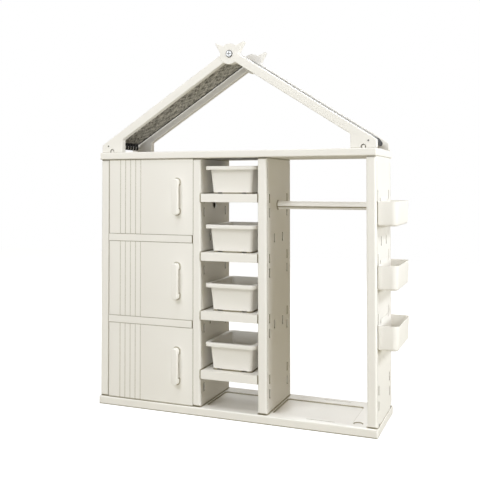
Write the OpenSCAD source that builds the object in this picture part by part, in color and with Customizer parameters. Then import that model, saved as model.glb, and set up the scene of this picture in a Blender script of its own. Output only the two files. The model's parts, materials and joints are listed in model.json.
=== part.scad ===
// Costume storage closet for children: a cabinet with three doors, a row of four bins,
// a hanging bay with a clothes rail, three hook-on side baskets and a cloth gable roof.
// Millimetres, Z up, doors toward -Y, origin at the middle of the footprint on the floor.

/* [Whole closet] */
// width over the base and the top board
closet_width = 1200; // [1160:5:1260]
// depth over the base and the top board
closet_depth = 330; // [324:2:350]
// clear width of the middle bay with the bins
middle_bay_width = 248; // [244:2:256]
// play between two pieces that are put together
fit_gap = 0.3; // [0.2:0.05:0.4]
// smoothness of the round shapes in the preview
round_steps = 48; // [32:8:96]

/* [Base tray] */
// height of the base tray
base_height = 34; // [32:1:40]
// wall of the base tray, which is open below
base_wall = 3.5; // [3:0.25:4.5]
// radius of the base and top board corners seen from above
board_corner = 9; // [6:1:12]
// radius along the rims of the base and the top board
board_edge = 5; // [3:0.5:6]
// depth of the sunk floor of each bay
floor_sink = 5; // [3:0.5:6]
// radius of the sunk floor's corners
floor_corner = 16; // [8:1:24]
// border left in front of the sunk floor
floor_front_border = 50; // [46:1:60]
// border left behind the sunk floor
floor_back_border = 68; // [60:1:76]
// border left beside the sunk floor
floor_side_border = 8; // [6:1:12]
// wider border at the right end of the hanging bay's sunk floor
floor_end_border = 62; // [56:1:70]
// width of the fine lines pressed in the border
line_width = 3; // [2:0.5:4]
// length of those lines
line_length = 113; // [90:1:130]
// depth of those lines
line_depth = 1.5; // [1:0.25:2]
// distance of a line's middle from the base's front or back edge
line_inset = 30; // [26:1:34]
// distance of the lines' middle from the right end of the base
line_from_end = 226; // [210:2:240]
// diameter of the round dimple in the hanging bay's border
dimple_diameter = 38; // [30:1:42]
// depth of the dimple
dimple_depth = 3; // [2:0.5:4]
// distance of the dimple's middle from the right end of the base
dimple_from_end = 83; // [80:1:86]
// height of a plug in the hollow panel
plug_height = 12; // [8:1:14]
// depth of a plug's socket in the base or the top board
socket_depth = 8; // [6:0.5:9]

/* [Top board] */
// thickness of the top board
top_thickness = 30; // [28:1:36]
// skin of the hollow top board
top_skin = 3.5; // [3:0.25:4.5]

/* [Panels] */
// height of the four upright panels
panel_height = 1014; // [1000:2:1030]
// thickness of an upright panel
panel_thickness = 38; // [36:1:42]
// distance of the panels' front and back from those of the base
panel_setback = 8; // [6:0.5:10]
// distance of the outer panels from the ends of the base
panel_inset = 4; // [3:0.5:8]
// skin of the hollow panels
panel_skin = 3.5; // [3:0.25:4]
// radius of the panels' upright edges
panel_edge = 9; // [6:0.5:10]
// radius of the panels' corners seen from the side
panel_corner = 14; // [8:1:16]
// width of the fine upright groove near a panel's edges
bead_width = 2; // [1.5:0.25:3]
// depth of that groove
bead_depth = 1; // [0.5:0.25:1.5]
// distance of that groove from the panel's edge
bead_inset = 14; // [12:1:16]
// how far that groove stops from the panel's ends
bead_stop = 20; // [16:1:30]
// width of the locating slots in the panels
slot_width = 12; // [10:0.5:14]
// height of the locating slots
slot_height = 36; // [34:1:40]
// how much closer together than the panel's depth the outer columns of slots are
slot_inset = 89; // [84:1:98]
// spacing of the two inner columns of slots
inner_slot_spacing = 104; // [96:1:110]
// distance from a level's upper slot to its spare slot below
spare_slot_drop = 58; // [54:1:66]
// how far the slot columns' middle lies in front of the closet's middle
fitting_offset = 6; // [4:0.5:8]

/* [Bin shelves] */
// height of the lowest bin shelf's top above the base
first_rise = 150; // [146:1:156]
// height left over the top bin shelf, the three steps below share the rest
top_space = 145.5; // [142:0.5:150]
// height of a bin shelf's front lip
bin_lip_height = 34; // [30:1:38]
// thickness of a front lip
lip_thickness = 18; // [16:1:20]
// thickness of a shelf's plate and its other walls
shelf_wall = 4; // [3:0.25:5]
// length of a shelf's tab, through the panel beside it
tab_length = 36; // [30:1:37]

/* [Cabinet shelves and back] */
// height of a cabinet shelf's front lip
cabinet_lip_height = 31; // [28:1:34]
// depth of the inner slots' bottom below a cabinet shelf's top
inner_slot_drop = 26; // [24:1:30]
// height of a cabinet shelf's tab
cabinet_tab_height = 22; // [16:1:23]
// thickness of the cabinet's back sheet
back_thickness = 3; // [2:0.25:4]
// depth of the back sheet's pressed fields
back_press = 1; // [0.5:0.25:1.25]

/* [Doors] */
// thickness of a door
door_thickness = 18; // [16:0.5:20]
// skin of the hollow doors
door_skin = 3; // [2.5:0.25:4]
// gap round a door
door_gap = 3; // [2.5:0.25:3.5]
// number of fine upright grooves on a door
groove_count = 5; // [3:1:6]
// distance from one groove to the next
groove_pitch = 24.6; // [18:0.2:26]
// distance of the first groove from the hinge side of the opening
first_groove = 57.5; // [52:0.5:62]
// width of a groove
groove_width = 2.4; // [1.5:0.1:3]
// depth of a groove
groove_depth = 1.4; // [0.8:0.1:1.6]
// diameter of a hinge pin
pin_diameter = 8; // [6:0.5:9]
// length of a hinge pin in the door, and in the piece that holds it
pin_reach = 9; // [7:0.5:10]
// play of a hinge pin round its radius
pin_play = 0.05; // [0.03:0.01:0.08]
// diameter of the collar that carries a door
collar_diameter = 14; // [12:0.5:16]

/* [Door handles] */
// length of a handle
handle_length = 150; // [130:2:160]
// width of a handle
handle_width = 35; // [28:1:38]
// height of a handle over the door
handle_height = 26; // [22:1:32]
// thickness of the handle's bar
handle_bar = 10; // [8:0.5:11]
// length of a handle's foot
handle_foot = 26; // [22:1:30]
// distance of a handle's middle from the door opening's far side
handle_inset = 72.5; // [66:0.5:80]

/* [Door catches] */
// height of a catch and of its plate
catch_height = 32; // [24:1:40]
// width of a catch
catch_width = 14; // [10:1:18]
// depth of a catch behind the door
catch_depth = 16; // [12:1:20]
// thickness of a catch plate in the door's back
plate_thickness = 1; // [0.8:0.1:1.5]

/* [Bins] */
// width of a bin over its rim
bin_width = 222; // [214:1:226]
// height of a bin
bin_height = 112.7; // [100:0.1:118]
// distance of a bin's rim from the shelf's front
bin_setback = 10; // [8:0.5:16]
// distance of a bin's rim from the panels' back
bin_back_space = 27; // [20:1:36]
// wall of a bin
bin_wall = 2.4; // [2:0.1:3]
// height of the bin's turned-down rim
rim_height = 15.5; // [12:0.5:18]
// width of the bin's rim outside the bin's body
rim_overhang = 16; // [13:0.5:18]
// how far a bin's sides lean in from the rim to the bottom
bin_lean = 10; // [6:0.5:14]
// radius of the rim's corners seen from above
rim_corner = 21; // [19:1:24]
// radius of the bin body's corners seen from above
bin_corner = 16; // [13:1:20]
// height of the bevel round the bin's bottom
bin_bevel = 6; // [4:0.5:8]
// height of the foot rim under a bin
foot_rim_height = 5; // [4:0.5:6]
// width of the two notches in the foot rim's front and back
foot_notch_width = 22; // [18:1:26]
// spacing of those notches
foot_notch_spacing = 106; // [96:2:116]

/* [Clothes rail] */
// diameter of the clothes rail
rail_diameter = 33; // [28:1:36]
// how far the clothes rail's middle lies below the top board
rail_drop = 192; // [184:1:200]
// how far the rail's middle lies in front of the closet's middle
rail_offset = 13; // [8:1:18]
// how far the rail enters the panel at each end
rail_reach = 36; // [30:1:37]
// wall of the hollow rail
rail_wall = 3; // [2.5:0.25:4]
// depth of the groove along the rail
rail_groove_depth = 1.2; // [0.8:0.1:1.5]
// width of the groove along the rail
rail_groove_width = 3; // [2:0.25:4]

/* [Side baskets] */
// how far a basket stands out from the panel
basket_out = 79; // [70:1:84]
// how much shorter than the panel's depth a basket is
basket_inset = 44; // [38:1:52]
// height of a basket
basket_height = 93; // [84:1:98]
// wall of a basket
basket_wall = 2.5; // [2:0.1:3]
// radius of a basket's outer upright corners
basket_corner = 27; // [20:1:30]
// radius of a basket's corners beside the panel
basket_inner_corner = 4; // [3:1:10]
// radius along a basket's bottom
basket_bottom_edge = 11; // [8:0.5:14]
// depth of the two upper baskets' rims below the shelf level beside them
basket_drop = 26; // [20:1:30]
// depth of the lowest basket's rim below the shelf level beside it
lowest_basket_drop = 11; // [8:1:30]
// height of the raised middle of a basket's panel side
basket_back_rise = 14; // [8:1:20]
// length of that raised middle
basket_back_length = 150; // [120:2:170]
// height of a hook plate above the rim
hook_rise = 43; // [38:1:48]
// width of a hook plate
hook_width = 20; // [17:0.5:24]
// height of the peg that enters the slot
peg_height = 14; // [10:0.5:14]
// how far the peg's tip hangs behind the panel's skin
tip_drop = 8; // [5:0.5:10]
// thickness of the peg's tip
tip_thickness = 3; // [2.5:0.25:4]

/* [Roof frame] */
// slope of the roof in degrees
roof_slope = 32.7; // [31.5:0.1:33.5]
// height of a rafter's beam square to its slope
rafter_height = 35; // [32:1:38]
// thickness of a rafter
rafter_thickness = 28; // [26:1:30]
// distance of the front rafters from the top board's front
rafter_front_inset = 15; // [12:1:18]
// distance of the rear rafters from the top board's back
rafter_rear_inset = 28; // [24:1:34]
// distance of a rafter's outer end from the top board's end
rafter_end_inset = 3; // [3:0.5:6]
// height of a rafter's upright outer end
rafter_end_height = 32; // [30:0.5:36]
// length of a rafter's foot on the top board
foot_length = 100; // [90:1:110]
// radius of the round plate where two rafters meet
apex_radius = 42; // [38:1:46]
// height of the round plate's middle below the roof's top edge
apex_drop = 22.5; // [20:0.5:24]
// half the distance between the tips of the two ears
ear_half_span = 64; // [58:1:68]
// height of an ear's tip above the round plate's middle
ear_height = 48.5; // [44:0.5:52]
// height of the saddle between the ears above the ridge
ear_saddle = 8; // [4:0.5:12]
// diameter of an apex bolt's head
bolt_head_diameter = 30; // [26:1:32]
// height of an apex bolt's head
bolt_head_height = 3.5; // [2.5:0.25:5]
// diameter of an apex bolt's shank
bolt_diameter = 10; // [8:0.5:12]
// length of an apex bolt's shank in the ridge bar
bolt_reach = 18; // [14:1:24]
// diameter of the ridge bar
ridge_bar_diameter = 22; // [20:0.5:22.5]
// diameter of the eave bars
eave_bar_diameter = 15; // [13:0.5:16]
// distance of an eave bar's middle from the top board's end
eave_bar_inset = 34; // [32:0.5:36]
// height of an eave bar's middle above the top board
eave_bar_rise = 28; // [26:0.5:30]
// diameter of a bar screw's head
bar_screw_head = 7; // [6:0.5:8]
// diameter of a bar screw's shank
bar_screw_diameter = 4; // [3:0.5:5]
// depth of a bar screw's head under the rafter's face
bar_screw_sink = 2; // [1.5:0.25:3]
// distance of a foot cap from the rafter's outer end
cap_inset = 50; // [46:1:54]
// diameter of a foot cap
cap_diameter = 15; // [12:0.5:16]
// height of a foot cap
cap_height = 11; // [9:0.5:12]
// gap between a foot cap and the notch round it
cap_play = 2.5; // [2:0.25:3.5]

/* [Roof cloth] */
// thickness of the roof cloth
cloth_thickness = 1.4; // [1:0.1:2]
// gap between the cloth's edge and a rafter
cloth_gap = 4; // [3:0.5:6]
// distance of the cloth's lower edge from the top board's end
cloth_end_inset = 40; // [38:1:46]
// number of webbing loops on an eave
loop_count = 9; // [7:1:9]
// width of a webbing loop
loop_width = 17; // [12:0.5:18]
// distance of the end loops from the cloth's side edges
loop_margin = 9; // [7:0.5:16]
// thickness of the webbing
webbing_thickness = 1.2; // [1:0.1:1.6]

/* [Panel screws] */
// diameter of a panel screw's head
screw_head_diameter = 9; // [7:0.5:10]
// height of a panel screw's head
screw_head_height = 2; // [1.5:0.25:3]
// diameter of a panel screw's shank
screw_diameter = 4; // [3:0.5:5]
// height of a panel screw above the base
screw_rise = 6; // [5:0.5:7]
// distance of a panel screw from the panel's front or back
screw_inset = 36; // [32:1:46]
// length of a panel screw's shank
screw_length = 14; // [10:1:18]

/* [Hidden] */
$fn = round_steps;
cut = 1;
plate_z = base_height + panel_height;
top_z = plate_z + top_thickness;
half_width = closet_width / 2;
panel_depth = closet_depth - 2 * panel_setback;
front_y = -panel_depth / 2;
slot_spacing = panel_depth - slot_inset;
screw_spacing = panel_depth - 2 * screw_inset;
basket_length = panel_depth - basket_inset;
outer_x = half_width - panel_inset - panel_thickness / 2;
inner_x = middle_bay_width / 2 + panel_thickness / 2;
bay_inner = middle_bay_width / 2 + panel_thickness;
bay_outer = half_width - panel_inset - panel_thickness;
side_bay = bay_outer - bay_inner;
bay_mid = (bay_outer + bay_inner) / 2;
core_depth = panel_depth - 2 * panel_corner - 2 * panel_skin;
core_width = panel_thickness - 2 * panel_skin;
fitting_y = -fitting_offset;
level_step = (panel_height - first_rise - top_space) / 3;
levels = [for (i = [0 : 3]) base_height + first_rise + i * level_step];
door_opening = (panel_height - 2 * cabinet_lip_height) / 3;
cabinet_levels = [for (i = [1, 2]) base_height + i * (door_opening + cabinet_lip_height)];
rail_level = plate_z - rail_drop;

// one door opening: its bottom and its top
door_low = [for (i = [0 : 2]) base_height + i * (door_opening + cabinet_lip_height)];
door_high = [for (low = door_low) low + door_opening];
pivot_x = -bay_outer + door_gap + door_thickness / 2;
pivot_y = front_y + door_thickness / 2;

bin_depth = panel_depth - bin_setback - bin_back_space;
bin_y = front_y + bin_setback + bin_depth / 2;
bin_floor = foot_rim_height + bin_wall;

rafter_y = -closet_depth / 2 + rafter_front_inset;
rafter_spacing = closet_depth - rafter_front_inset - rafter_rear_inset - rafter_thickness;
roof_y = rafter_y + (rafter_spacing + rafter_thickness) / 2;
rafter_end = half_width - rafter_end_inset;
ridge_z = top_z + rafter_end_height + rafter_end * tan(roof_slope);
apex_z = ridge_z - apex_drop;
beam_drop = rafter_height / cos(roof_slope);
rafter_run = rafter_spacing - rafter_thickness;
eave_x = half_width - eave_bar_inset;
eave_z = top_z + eave_bar_rise;
cloth_length = rafter_run - 2 * cloth_gap;
loop_pitch = (cloth_length - loop_width - 2 * loop_margin) / (loop_count - 1);
cloth_end_x = half_width - cloth_end_inset;
cloth_radius = ridge_bar_diameter / 2 + fit_gap;
notch_diameter = cap_diameter + 2 * cap_play;

cream = [0.94, 0.93, 0.90];
shade = [0.86, 0.85, 0.80];
steel = [0.70, 0.70, 0.70];
cloth_grey = [0.45, 0.44, 0.40];
webbing_black = [0.10, 0.10, 0.10];

// flat rectangle with round corners, about its middle
module rounded_rect(width, depth, corner) {
    square([width - 2 * corner, depth], center = true);
    square([width, depth - 2 * corner], center = true);
    for (sx = [-1, 1], sy = [-1, 1])
        translate([sx * (width / 2 - corner), sy * (depth / 2 - corner)])
            circle(corner);
}

// flat shape drawn in X and Z, made thick along Y about its middle
module along_y(length) {
    translate([0, length / 2, 0])
        rotate([90, 0, 0])
            linear_extrude(length)
                children();
}

// flat shape drawn in Y and Z, made thick along X about its middle
module along_x(length) {
    translate([-length / 2, 0, 0])
        rotate([90, 0, 90])
            linear_extrude(length)
                children();
}

// block standing on its bottom, with round corners and round rims
module soft_board(width, depth, height, corner, edge) {
    intersection() {
        linear_extrude(height)
            rounded_rect(width, depth, corner);
        translate([0, 0, height / 2])
            along_y(depth)
                rounded_rect(width, height, edge);
        translate([0, 0, height / 2])
            along_x(width)
                rounded_rect(depth, height, edge);
    }
}

module block(low, high) {
    translate(low)
        cube(high - low);
}

// block that fits in the hollow of a panel, with some play to cut its socket
module plug_block(play) {
    linear_extrude(plug_height + socket_depth + play)
        square([core_width - 2 * fit_gap + 2 * play, core_depth - 2 * fit_gap + 2 * play], center = true);
}

module screw_holes(diameter) {
    for (side = [-1, 1])
        translate([0, side * screw_spacing / 2, screw_rise])
            rotate([0, 90, 0])
                cylinder(h = panel_thickness + 2 * cut, d = diameter, center = true);
}

module panel_plugs() color(shade) {
    for (x = [-outer_x, -inner_x, inner_x, outer_x]) {
        translate([x, 0, base_height])
            difference() {
                translate([0, 0, -socket_depth])
                    plug_block(0);
                if (abs(x) > bay_mid)
                    screw_holes(screw_diameter + 2 * pin_play);
            }
        translate([x, 0, plate_z - plug_height])
            plug_block(0);
    }
}

module sunk_floor(low_x, high_x) {
    front = -closet_depth / 2 + floor_front_border;
    back = closet_depth / 2 - floor_back_border;
    translate([(low_x + high_x) / 2, (front + back) / 2, base_height - floor_sink])
        linear_extrude(floor_sink + cut)
            rounded_rect(high_x - low_x, back - front, floor_corner);
}

// hollows under the base between two ribs, up to a given height
module base_cell(low_x, high_x, roof) {
    rim = closet_depth / 2 - base_wall - board_edge - lip_thickness;
    for (side = [-1, 1])
        block([low_x + base_wall / 2, side > 0 ? base_wall / 2 : -rim, -cut],
            [high_x - base_wall / 2, side > 0 ? rim : -base_wall / 2, roof]);
}

module base_tray() color(cream) {
    bay_roof = base_height - floor_sink - base_wall;
    plug_roof = base_height - socket_depth - base_wall;
    difference() {
        soft_board(closet_width, closet_depth, base_height, board_corner, board_edge);
        for (x = [-outer_x, -inner_x, inner_x, outer_x]) {
            translate([x, 0, base_height - socket_depth - fit_gap])
                plug_block(fit_gap);
            base_cell(x - panel_thickness / 2 + base_wall / 2, x + panel_thickness / 2 - base_wall / 2,
                plug_roof);
        }
        sunk_floor(-bay_outer + floor_side_border, -bay_inner - floor_side_border);
        sunk_floor(-middle_bay_width / 2 + floor_side_border, middle_bay_width / 2 - floor_side_border);
        sunk_floor(bay_inner + floor_side_border, half_width - floor_end_border - panel_thickness - panel_inset);
        for (y = [-closet_depth / 2 + line_inset, closet_depth / 2 - line_inset])
            translate([half_width - line_from_end, y, base_height - line_depth])
                linear_extrude(line_depth + cut)
                    square([line_length, line_width], center = true);
        translate([half_width - dimple_from_end, -closet_depth / 2 + floor_front_border - 2,
            base_height - dimple_depth])
            cylinder(h = dimple_depth + cut, d = dimple_diameter);
        for (side = [-1, 1]) {
            base_cell(side > 0 ? bay_inner : -bay_outer, side > 0 ? bay_mid : -bay_mid, bay_roof);
            base_cell(side > 0 ? bay_mid : -bay_mid, side > 0 ? bay_outer : -bay_inner, bay_roof);
            base_cell(side > 0 ? 0 : -bay_inner + panel_thickness, side > 0 ? bay_inner - panel_thickness : 0,
                bay_roof);
        }
        translate([pivot_x, pivot_y, base_height - pin_reach - fit_gap])
            cylinder(h = pin_reach + fit_gap + cut, r = pin_diameter / 2 + pin_play);
    }
}

module top_board() color(cream) {
    inner = top_thickness - 2 * top_skin;
    difference() {
        translate([0, 0, plate_z])
            soft_board(closet_width, closet_depth, top_thickness, board_corner, board_edge);
        for (x = [-outer_x, -inner_x, inner_x, outer_x])
            translate([x, 0, plate_z - plug_height])
                plug_block(fit_gap);
        // closed hollows between the panels
        for (x = [-bay_mid, 0, bay_mid])
            translate([x, 0, plate_z + top_thickness / 2])
                cube([(x == 0 ? middle_bay_width : side_bay) - 2 * top_skin,
                    closet_depth - 2 * (board_edge + lip_thickness), inner], center = true);
        translate([pivot_x, pivot_y, plate_z - cut])
            cylinder(h = pin_reach + fit_gap + cut, r = pin_diameter / 2 + pin_play);
    }
}

module slot_hole(y, z) {
    translate([0, y, z - base_height + slot_height / 2])
        cube([panel_thickness + 2 * cut, slot_width, slot_height], center = true);
}

// one hollow upright panel, all four are alike
module panel(x) color(cream) {
    bead_y = panel_depth / 2 - bead_inset;
    translate([x, 0, base_height])
        difference() {
            intersection() {
                linear_extrude(panel_height)
                    rounded_rect(panel_thickness, panel_depth, panel_edge);
                translate([0, 0, panel_height / 2])
                    along_x(panel_thickness)
                        rounded_rect(panel_depth, panel_height, panel_corner);
            }
            translate([0, 0, -cut])
                linear_extrude(panel_height + 2 * cut)
                    square([core_width, core_depth], center = true);
            for (side = [-1, 1]) {
                for (level = levels) {
                    slot_hole(fitting_y + side * slot_spacing / 2, level - slot_height);
                    slot_hole(fitting_y + side * slot_spacing / 2, level - spare_slot_drop - slot_height);
                }
                for (level = cabinet_levels)
                    slot_hole(fitting_y + side * inner_slot_spacing / 2, level - inner_slot_drop);
            }
            translate([0, -rail_offset, rail_level - base_height])
                rotate([0, 90, 0])
                    cylinder(h = panel_thickness + 2 * cut, d = rail_diameter + 2 * fit_gap, center = true);
            for (sx = [-1, 1], sy = [-1, 1])
                translate([sx * panel_thickness / 2, sy * bead_y, panel_height / 2])
                    cube([2 * bead_depth, bead_width, panel_height - 2 * bead_stop], center = true);
            if (abs(x) > bay_mid)
                screw_holes(screw_diameter + 2 * fit_gap);
        }
}

module left_side_panel() panel(-outer_x);
module left_divider() panel(-inner_x);
module right_divider() panel(inner_x);
module right_side_panel() panel(outer_x);

// shelf shell, its top at zero and its front at zero
module shelf_shell(width, depth, lip_height) {
    block([-width / 2, 0, -lip_height], [width / 2, lip_thickness, 0]);
    difference() {
        block([-width / 2, lip_thickness - cut, -lip_height], [width / 2, depth, 0]);
        block([-width / 2 + shelf_wall, lip_thickness - 2 * cut, -lip_height - cut],
            [-shelf_wall / 2, depth - shelf_wall, -shelf_wall]);
        block([shelf_wall / 2, lip_thickness - 2 * cut, -lip_height - cut],
            [width / 2 - shelf_wall, depth - shelf_wall, -shelf_wall]);
    }
}

module cabinet_shelf(level) color(cream) {
    width = side_bay - 2 * fit_gap;
    depth = panel_depth / 2 - front_y - shelf_wall - back_thickness;
    translate([-bay_mid, front_y, level])
        difference() {
            union() {
                shelf_shell(width, depth, cabinet_lip_height);
                for (side = [-1, 1])
                    translate([0, fitting_y - front_y + side * inner_slot_spacing / 2,
                        cabinet_tab_height / 2 - inner_slot_drop])
                        cube([width + 2 * tab_length, slot_width - 2 * fit_gap, cabinet_tab_height],
                            center = true);
            }
            // room under the plate between the tabs
            for (side = [-1, 1])
                block([side > 0 ? shelf_wall / 2 : shelf_wall - width / 2,
                    lip_thickness + shelf_wall, -inner_slot_drop - cut],
                    [side > 0 ? width / 2 - shelf_wall : -shelf_wall / 2,
                    depth - shelf_wall, -shelf_wall]);
            translate([pivot_x + bay_mid, pivot_y - front_y, -pin_reach - fit_gap])
                cylinder(h = pin_reach + fit_gap + cut, r = pin_diameter / 2 + pin_play);
            translate([pivot_x + bay_mid, pivot_y - front_y, -cabinet_lip_height - cut])
                cylinder(h = pin_reach + fit_gap + cut, r = pin_diameter / 2 + pin_play);
        }
}

module lower_cabinet_shelf() cabinet_shelf(cabinet_levels[0]);
module upper_cabinet_shelf() cabinet_shelf(cabinet_levels[1]);

module cabinet_back() color(shade) {
    width = side_bay - 2 * fit_gap;
    back = panel_depth / 2 - shelf_wall;
    difference() {
        block([-bay_mid - width / 2, back - back_thickness, base_height],
            [-bay_mid + width / 2, back, plate_z - fit_gap]);
        for (i = [0 : 2])
            block([-bay_mid - width / 2 + lip_thickness, back - back_press, door_low[i] + lip_thickness],
                [-bay_mid + width / 2 - lip_thickness, back + cut, door_high[i] - lip_thickness]);
    }
}

module bin_shelf(level) color(cream) {
    width = middle_bay_width - 2 * fit_gap;
    depth = panel_depth - panel_corner;
    tab_height = slot_height - 2 * fit_gap;
    translate([0, front_y, level]) {
        shelf_shell(width, depth, bin_lip_height);
        for (sx = [-1, 1], sy = [-1, 1])
            translate([sx * (width - shelf_wall + tab_length) / 2,
                fitting_y - front_y + sy * slot_spacing / 2, tab_height / 2 - slot_height])
                cube([tab_length + shelf_wall, slot_width - 2 * fit_gap, tab_height], center = true);
    }
}

module bin_shelf_1() bin_shelf(levels[0]);
module bin_shelf_2() bin_shelf(levels[1]);
module bin_shelf_3() bin_shelf(levels[2]);
module bin_shelf_4() bin_shelf(levels[3]);

// hollow door that fills opening i, round along its hinge side
module door(i) color(cream) {
    low = door_low[i] + door_gap - 1;
    high = door_high[i] - door_gap;
    end_x = -bay_inner - door_gap;
    difference() {
        translate([0, 0, low])
            linear_extrude(high - low) {
                translate([pivot_x, pivot_y - door_thickness / 2])
                    square([end_x - pivot_x, door_thickness]);
                translate([pivot_x, pivot_y])
                    circle(d = door_thickness);
            }
        // closed hollow
        block([pivot_x + collar_diameter, front_y + door_skin, low + pin_reach + door_skin],
            [end_x - catch_width - 2 * door_skin, front_y + door_thickness - door_skin,
            high - pin_reach - door_skin]);
        for (k = [0 : groove_count - 1])
            block([-bay_outer + first_groove + k * groove_pitch - groove_width / 2, front_y - cut, low - cut],
                [-bay_outer + first_groove + k * groove_pitch + groove_width / 2,
                front_y + groove_depth, high + cut]);
        for (z = [low, high])
            translate([pivot_x, pivot_y, z])
                cylinder(h = 2 * pin_reach, d = pin_diameter, center = true);
        catch_plate_at(i, cut);
    }
}

// metal plate let into the back of a door, with extra room when it is a cutter
module catch_plate_at(i, extra) {
    mid = (door_low[i] + door_high[i]) / 2;
    block([-bay_inner - door_gap - door_skin - catch_width,
        front_y + door_thickness - plate_thickness, mid - catch_height / 2],
        [-bay_inner - door_gap - door_skin, front_y + door_thickness + extra, mid + catch_height / 2]);
}

module door_plate(i) color(steel) catch_plate_at(i, 0);

module door_handle(i) color(cream) {
    mid = (door_low[i] + door_high[i]) / 2;
    x = -bay_inner - handle_inset;
    translate([x, front_y, mid])
        difference() {
            translate([0, -handle_height / 2, 0])
                along_y(handle_height)
                    rounded_rect(handle_width, handle_length, handle_width / 2 - 0.5);
            translate([0, -(handle_height - handle_bar) / 2 + cut / 2, 0])
                cube([handle_width + 2 * cut, handle_height - handle_bar + cut,
                    handle_length - 2 * handle_foot], center = true);
        }
}

// two pins of a door: the lower one has the collar that the door stands on
module door_pins(i) color(steel) {
    low = door_low[i] + door_gap - 1;
    high = door_high[i] - door_gap;
    translate([pivot_x, pivot_y, low - door_gap + 1 - pin_reach])
        cylinder(h = 2 * pin_reach + door_gap - 1, d = pin_diameter);
    translate([pivot_x, pivot_y, door_low[i]])
        cylinder(h = door_gap - 1, d = collar_diameter);
    translate([pivot_x, pivot_y, high - pin_reach])
        cylinder(h = 2 * pin_reach + door_gap, d = pin_diameter);
}

module lower_door() door(0);
module middle_door() door(1);
module upper_door() door(2);
module lower_door_handle() door_handle(0);
module middle_door_handle() door_handle(1);
module upper_door_handle() door_handle(2);
module lower_door_pins() door_pins(0);
module middle_door_pins() door_pins(1);
module upper_door_pins() door_pins(2);
module lower_door_plate() door_plate(0);
module middle_door_plate() door_plate(1);
module upper_door_plate() door_plate(2);

module door_catches() color(shade) {
    back = front_y + door_thickness + fit_gap;
    for (i = [0 : 2])
        translate([0, 0, (door_low[i] + door_high[i]) / 2 - catch_height / 2])
            difference() {
                block([-bay_inner - door_gap - door_skin - catch_width, back, 0],
                    [-bay_inner, back + catch_depth, catch_height]);
                block([-bay_inner - door_gap - door_skin - catch_width - cut,
                    back + catch_depth / 2, catch_height / 4],
                    [-bay_inner - door_gap, back + catch_depth + cut, 3 * catch_height / 4]);
            }
}

// leaning tub shape with round corners, for a bin's outside and its inside
module tub(width, depth, height, lean, corner, bevel) {
    hull() {
        translate([0, 0, height - 0.5])
            linear_extrude(0.5)
                rounded_rect(width, depth, corner);
        translate([0, 0, bevel])
            linear_extrude(0.5)
                rounded_rect(width - 2 * lean, depth - 2 * lean, corner);
        linear_extrude(0.5)
            rounded_rect(width - 2 * lean - bevel, depth - 2 * lean - bevel, corner - bevel / 2);
    }
}

module bin(level) color(cream) {
    body_width = bin_width - 2 * rim_overhang;
    body_depth = bin_depth - 2 * rim_overhang;
    floor_z = level + fit_gap;
    translate([0, bin_y, floor_z])
        difference() {
            union() {
                tub(body_width, body_depth, bin_height, bin_lean, bin_corner, bin_bevel, $fn = 32);
                translate([0, 0, bin_height - rim_height])
                    difference() {
                        linear_extrude(rim_height)
                            rounded_rect(bin_width, bin_depth, rim_corner);
                        translate([0, 0, -cut])
                            linear_extrude(rim_height - bin_wall + cut)
                                rounded_rect(bin_width - 2 * bin_wall, bin_depth - 2 * bin_wall,
                                    rim_corner - bin_wall);
                    }
            }
            translate([0, 0, bin_floor])
                tub(body_width - 2 * bin_wall, body_depth - 2 * bin_wall, bin_height - bin_floor + cut,
                    bin_lean, bin_corner - bin_wall, bin_bevel, $fn = 32);
            // room inside the foot rim, and the rim's notches
            translate([0, 0, -cut])
                linear_extrude(foot_rim_height + cut) {
                    rounded_rect(body_width - 2 * bin_lean - bin_bevel - 2 * bin_wall,
                        body_depth - 2 * bin_lean - bin_bevel - 2 * bin_wall,
                        bin_corner - bin_bevel / 2 - bin_wall);
                    for (side = [-1, 1])
                        translate([side * foot_notch_spacing / 2, 0])
                            square([foot_notch_width, body_depth], center = true);
                }
        }
}

module bin_1() bin(levels[0]);
module bin_2() bin(levels[1]);
module bin_3() bin(levels[2]);
module bin_4() bin(levels[3]);

module clothes_rail() color(cream) {
    length = side_bay + 2 * rail_reach;
    translate([bay_mid, -rail_offset, rail_level])
        rotate([0, 90, 0])
            difference() {
                cylinder(h = length, d = rail_diameter, center = true);
                cylinder(h = length - 2 * rail_wall, d = rail_diameter - 2 * rail_wall, center = true);
                translate([rail_diameter / 6, -rail_diameter / 2, 0])
                    cube([rail_groove_width, 2 * rail_groove_depth + 1, side_bay - 2 * rail_wall],
                        center = true);
            }
}

// basket shell: its panel side at zero, its rim at zero
module basket_form(out, length, height, corner, inner_corner, edge) {
    intersection() {
        translate([0, 0, -height])
            linear_extrude(height) {
                translate([out / 2, 0])
                    rounded_rect(out, length, corner);
                translate([(out - corner) / 2, 0])
                    rounded_rect(out - corner, length, inner_corner);
            }
        translate([out / 2, 0, 0])
            along_x(out)
                translate([0, -height / 2 + edge])
                    rounded_rect(length, height + 2 * edge, edge);
        along_y(length)
            translate([(out - edge) / 2, -height / 2 + edge])
                rounded_rect(out + edge, height + 2 * edge, edge);
    }
}

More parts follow.
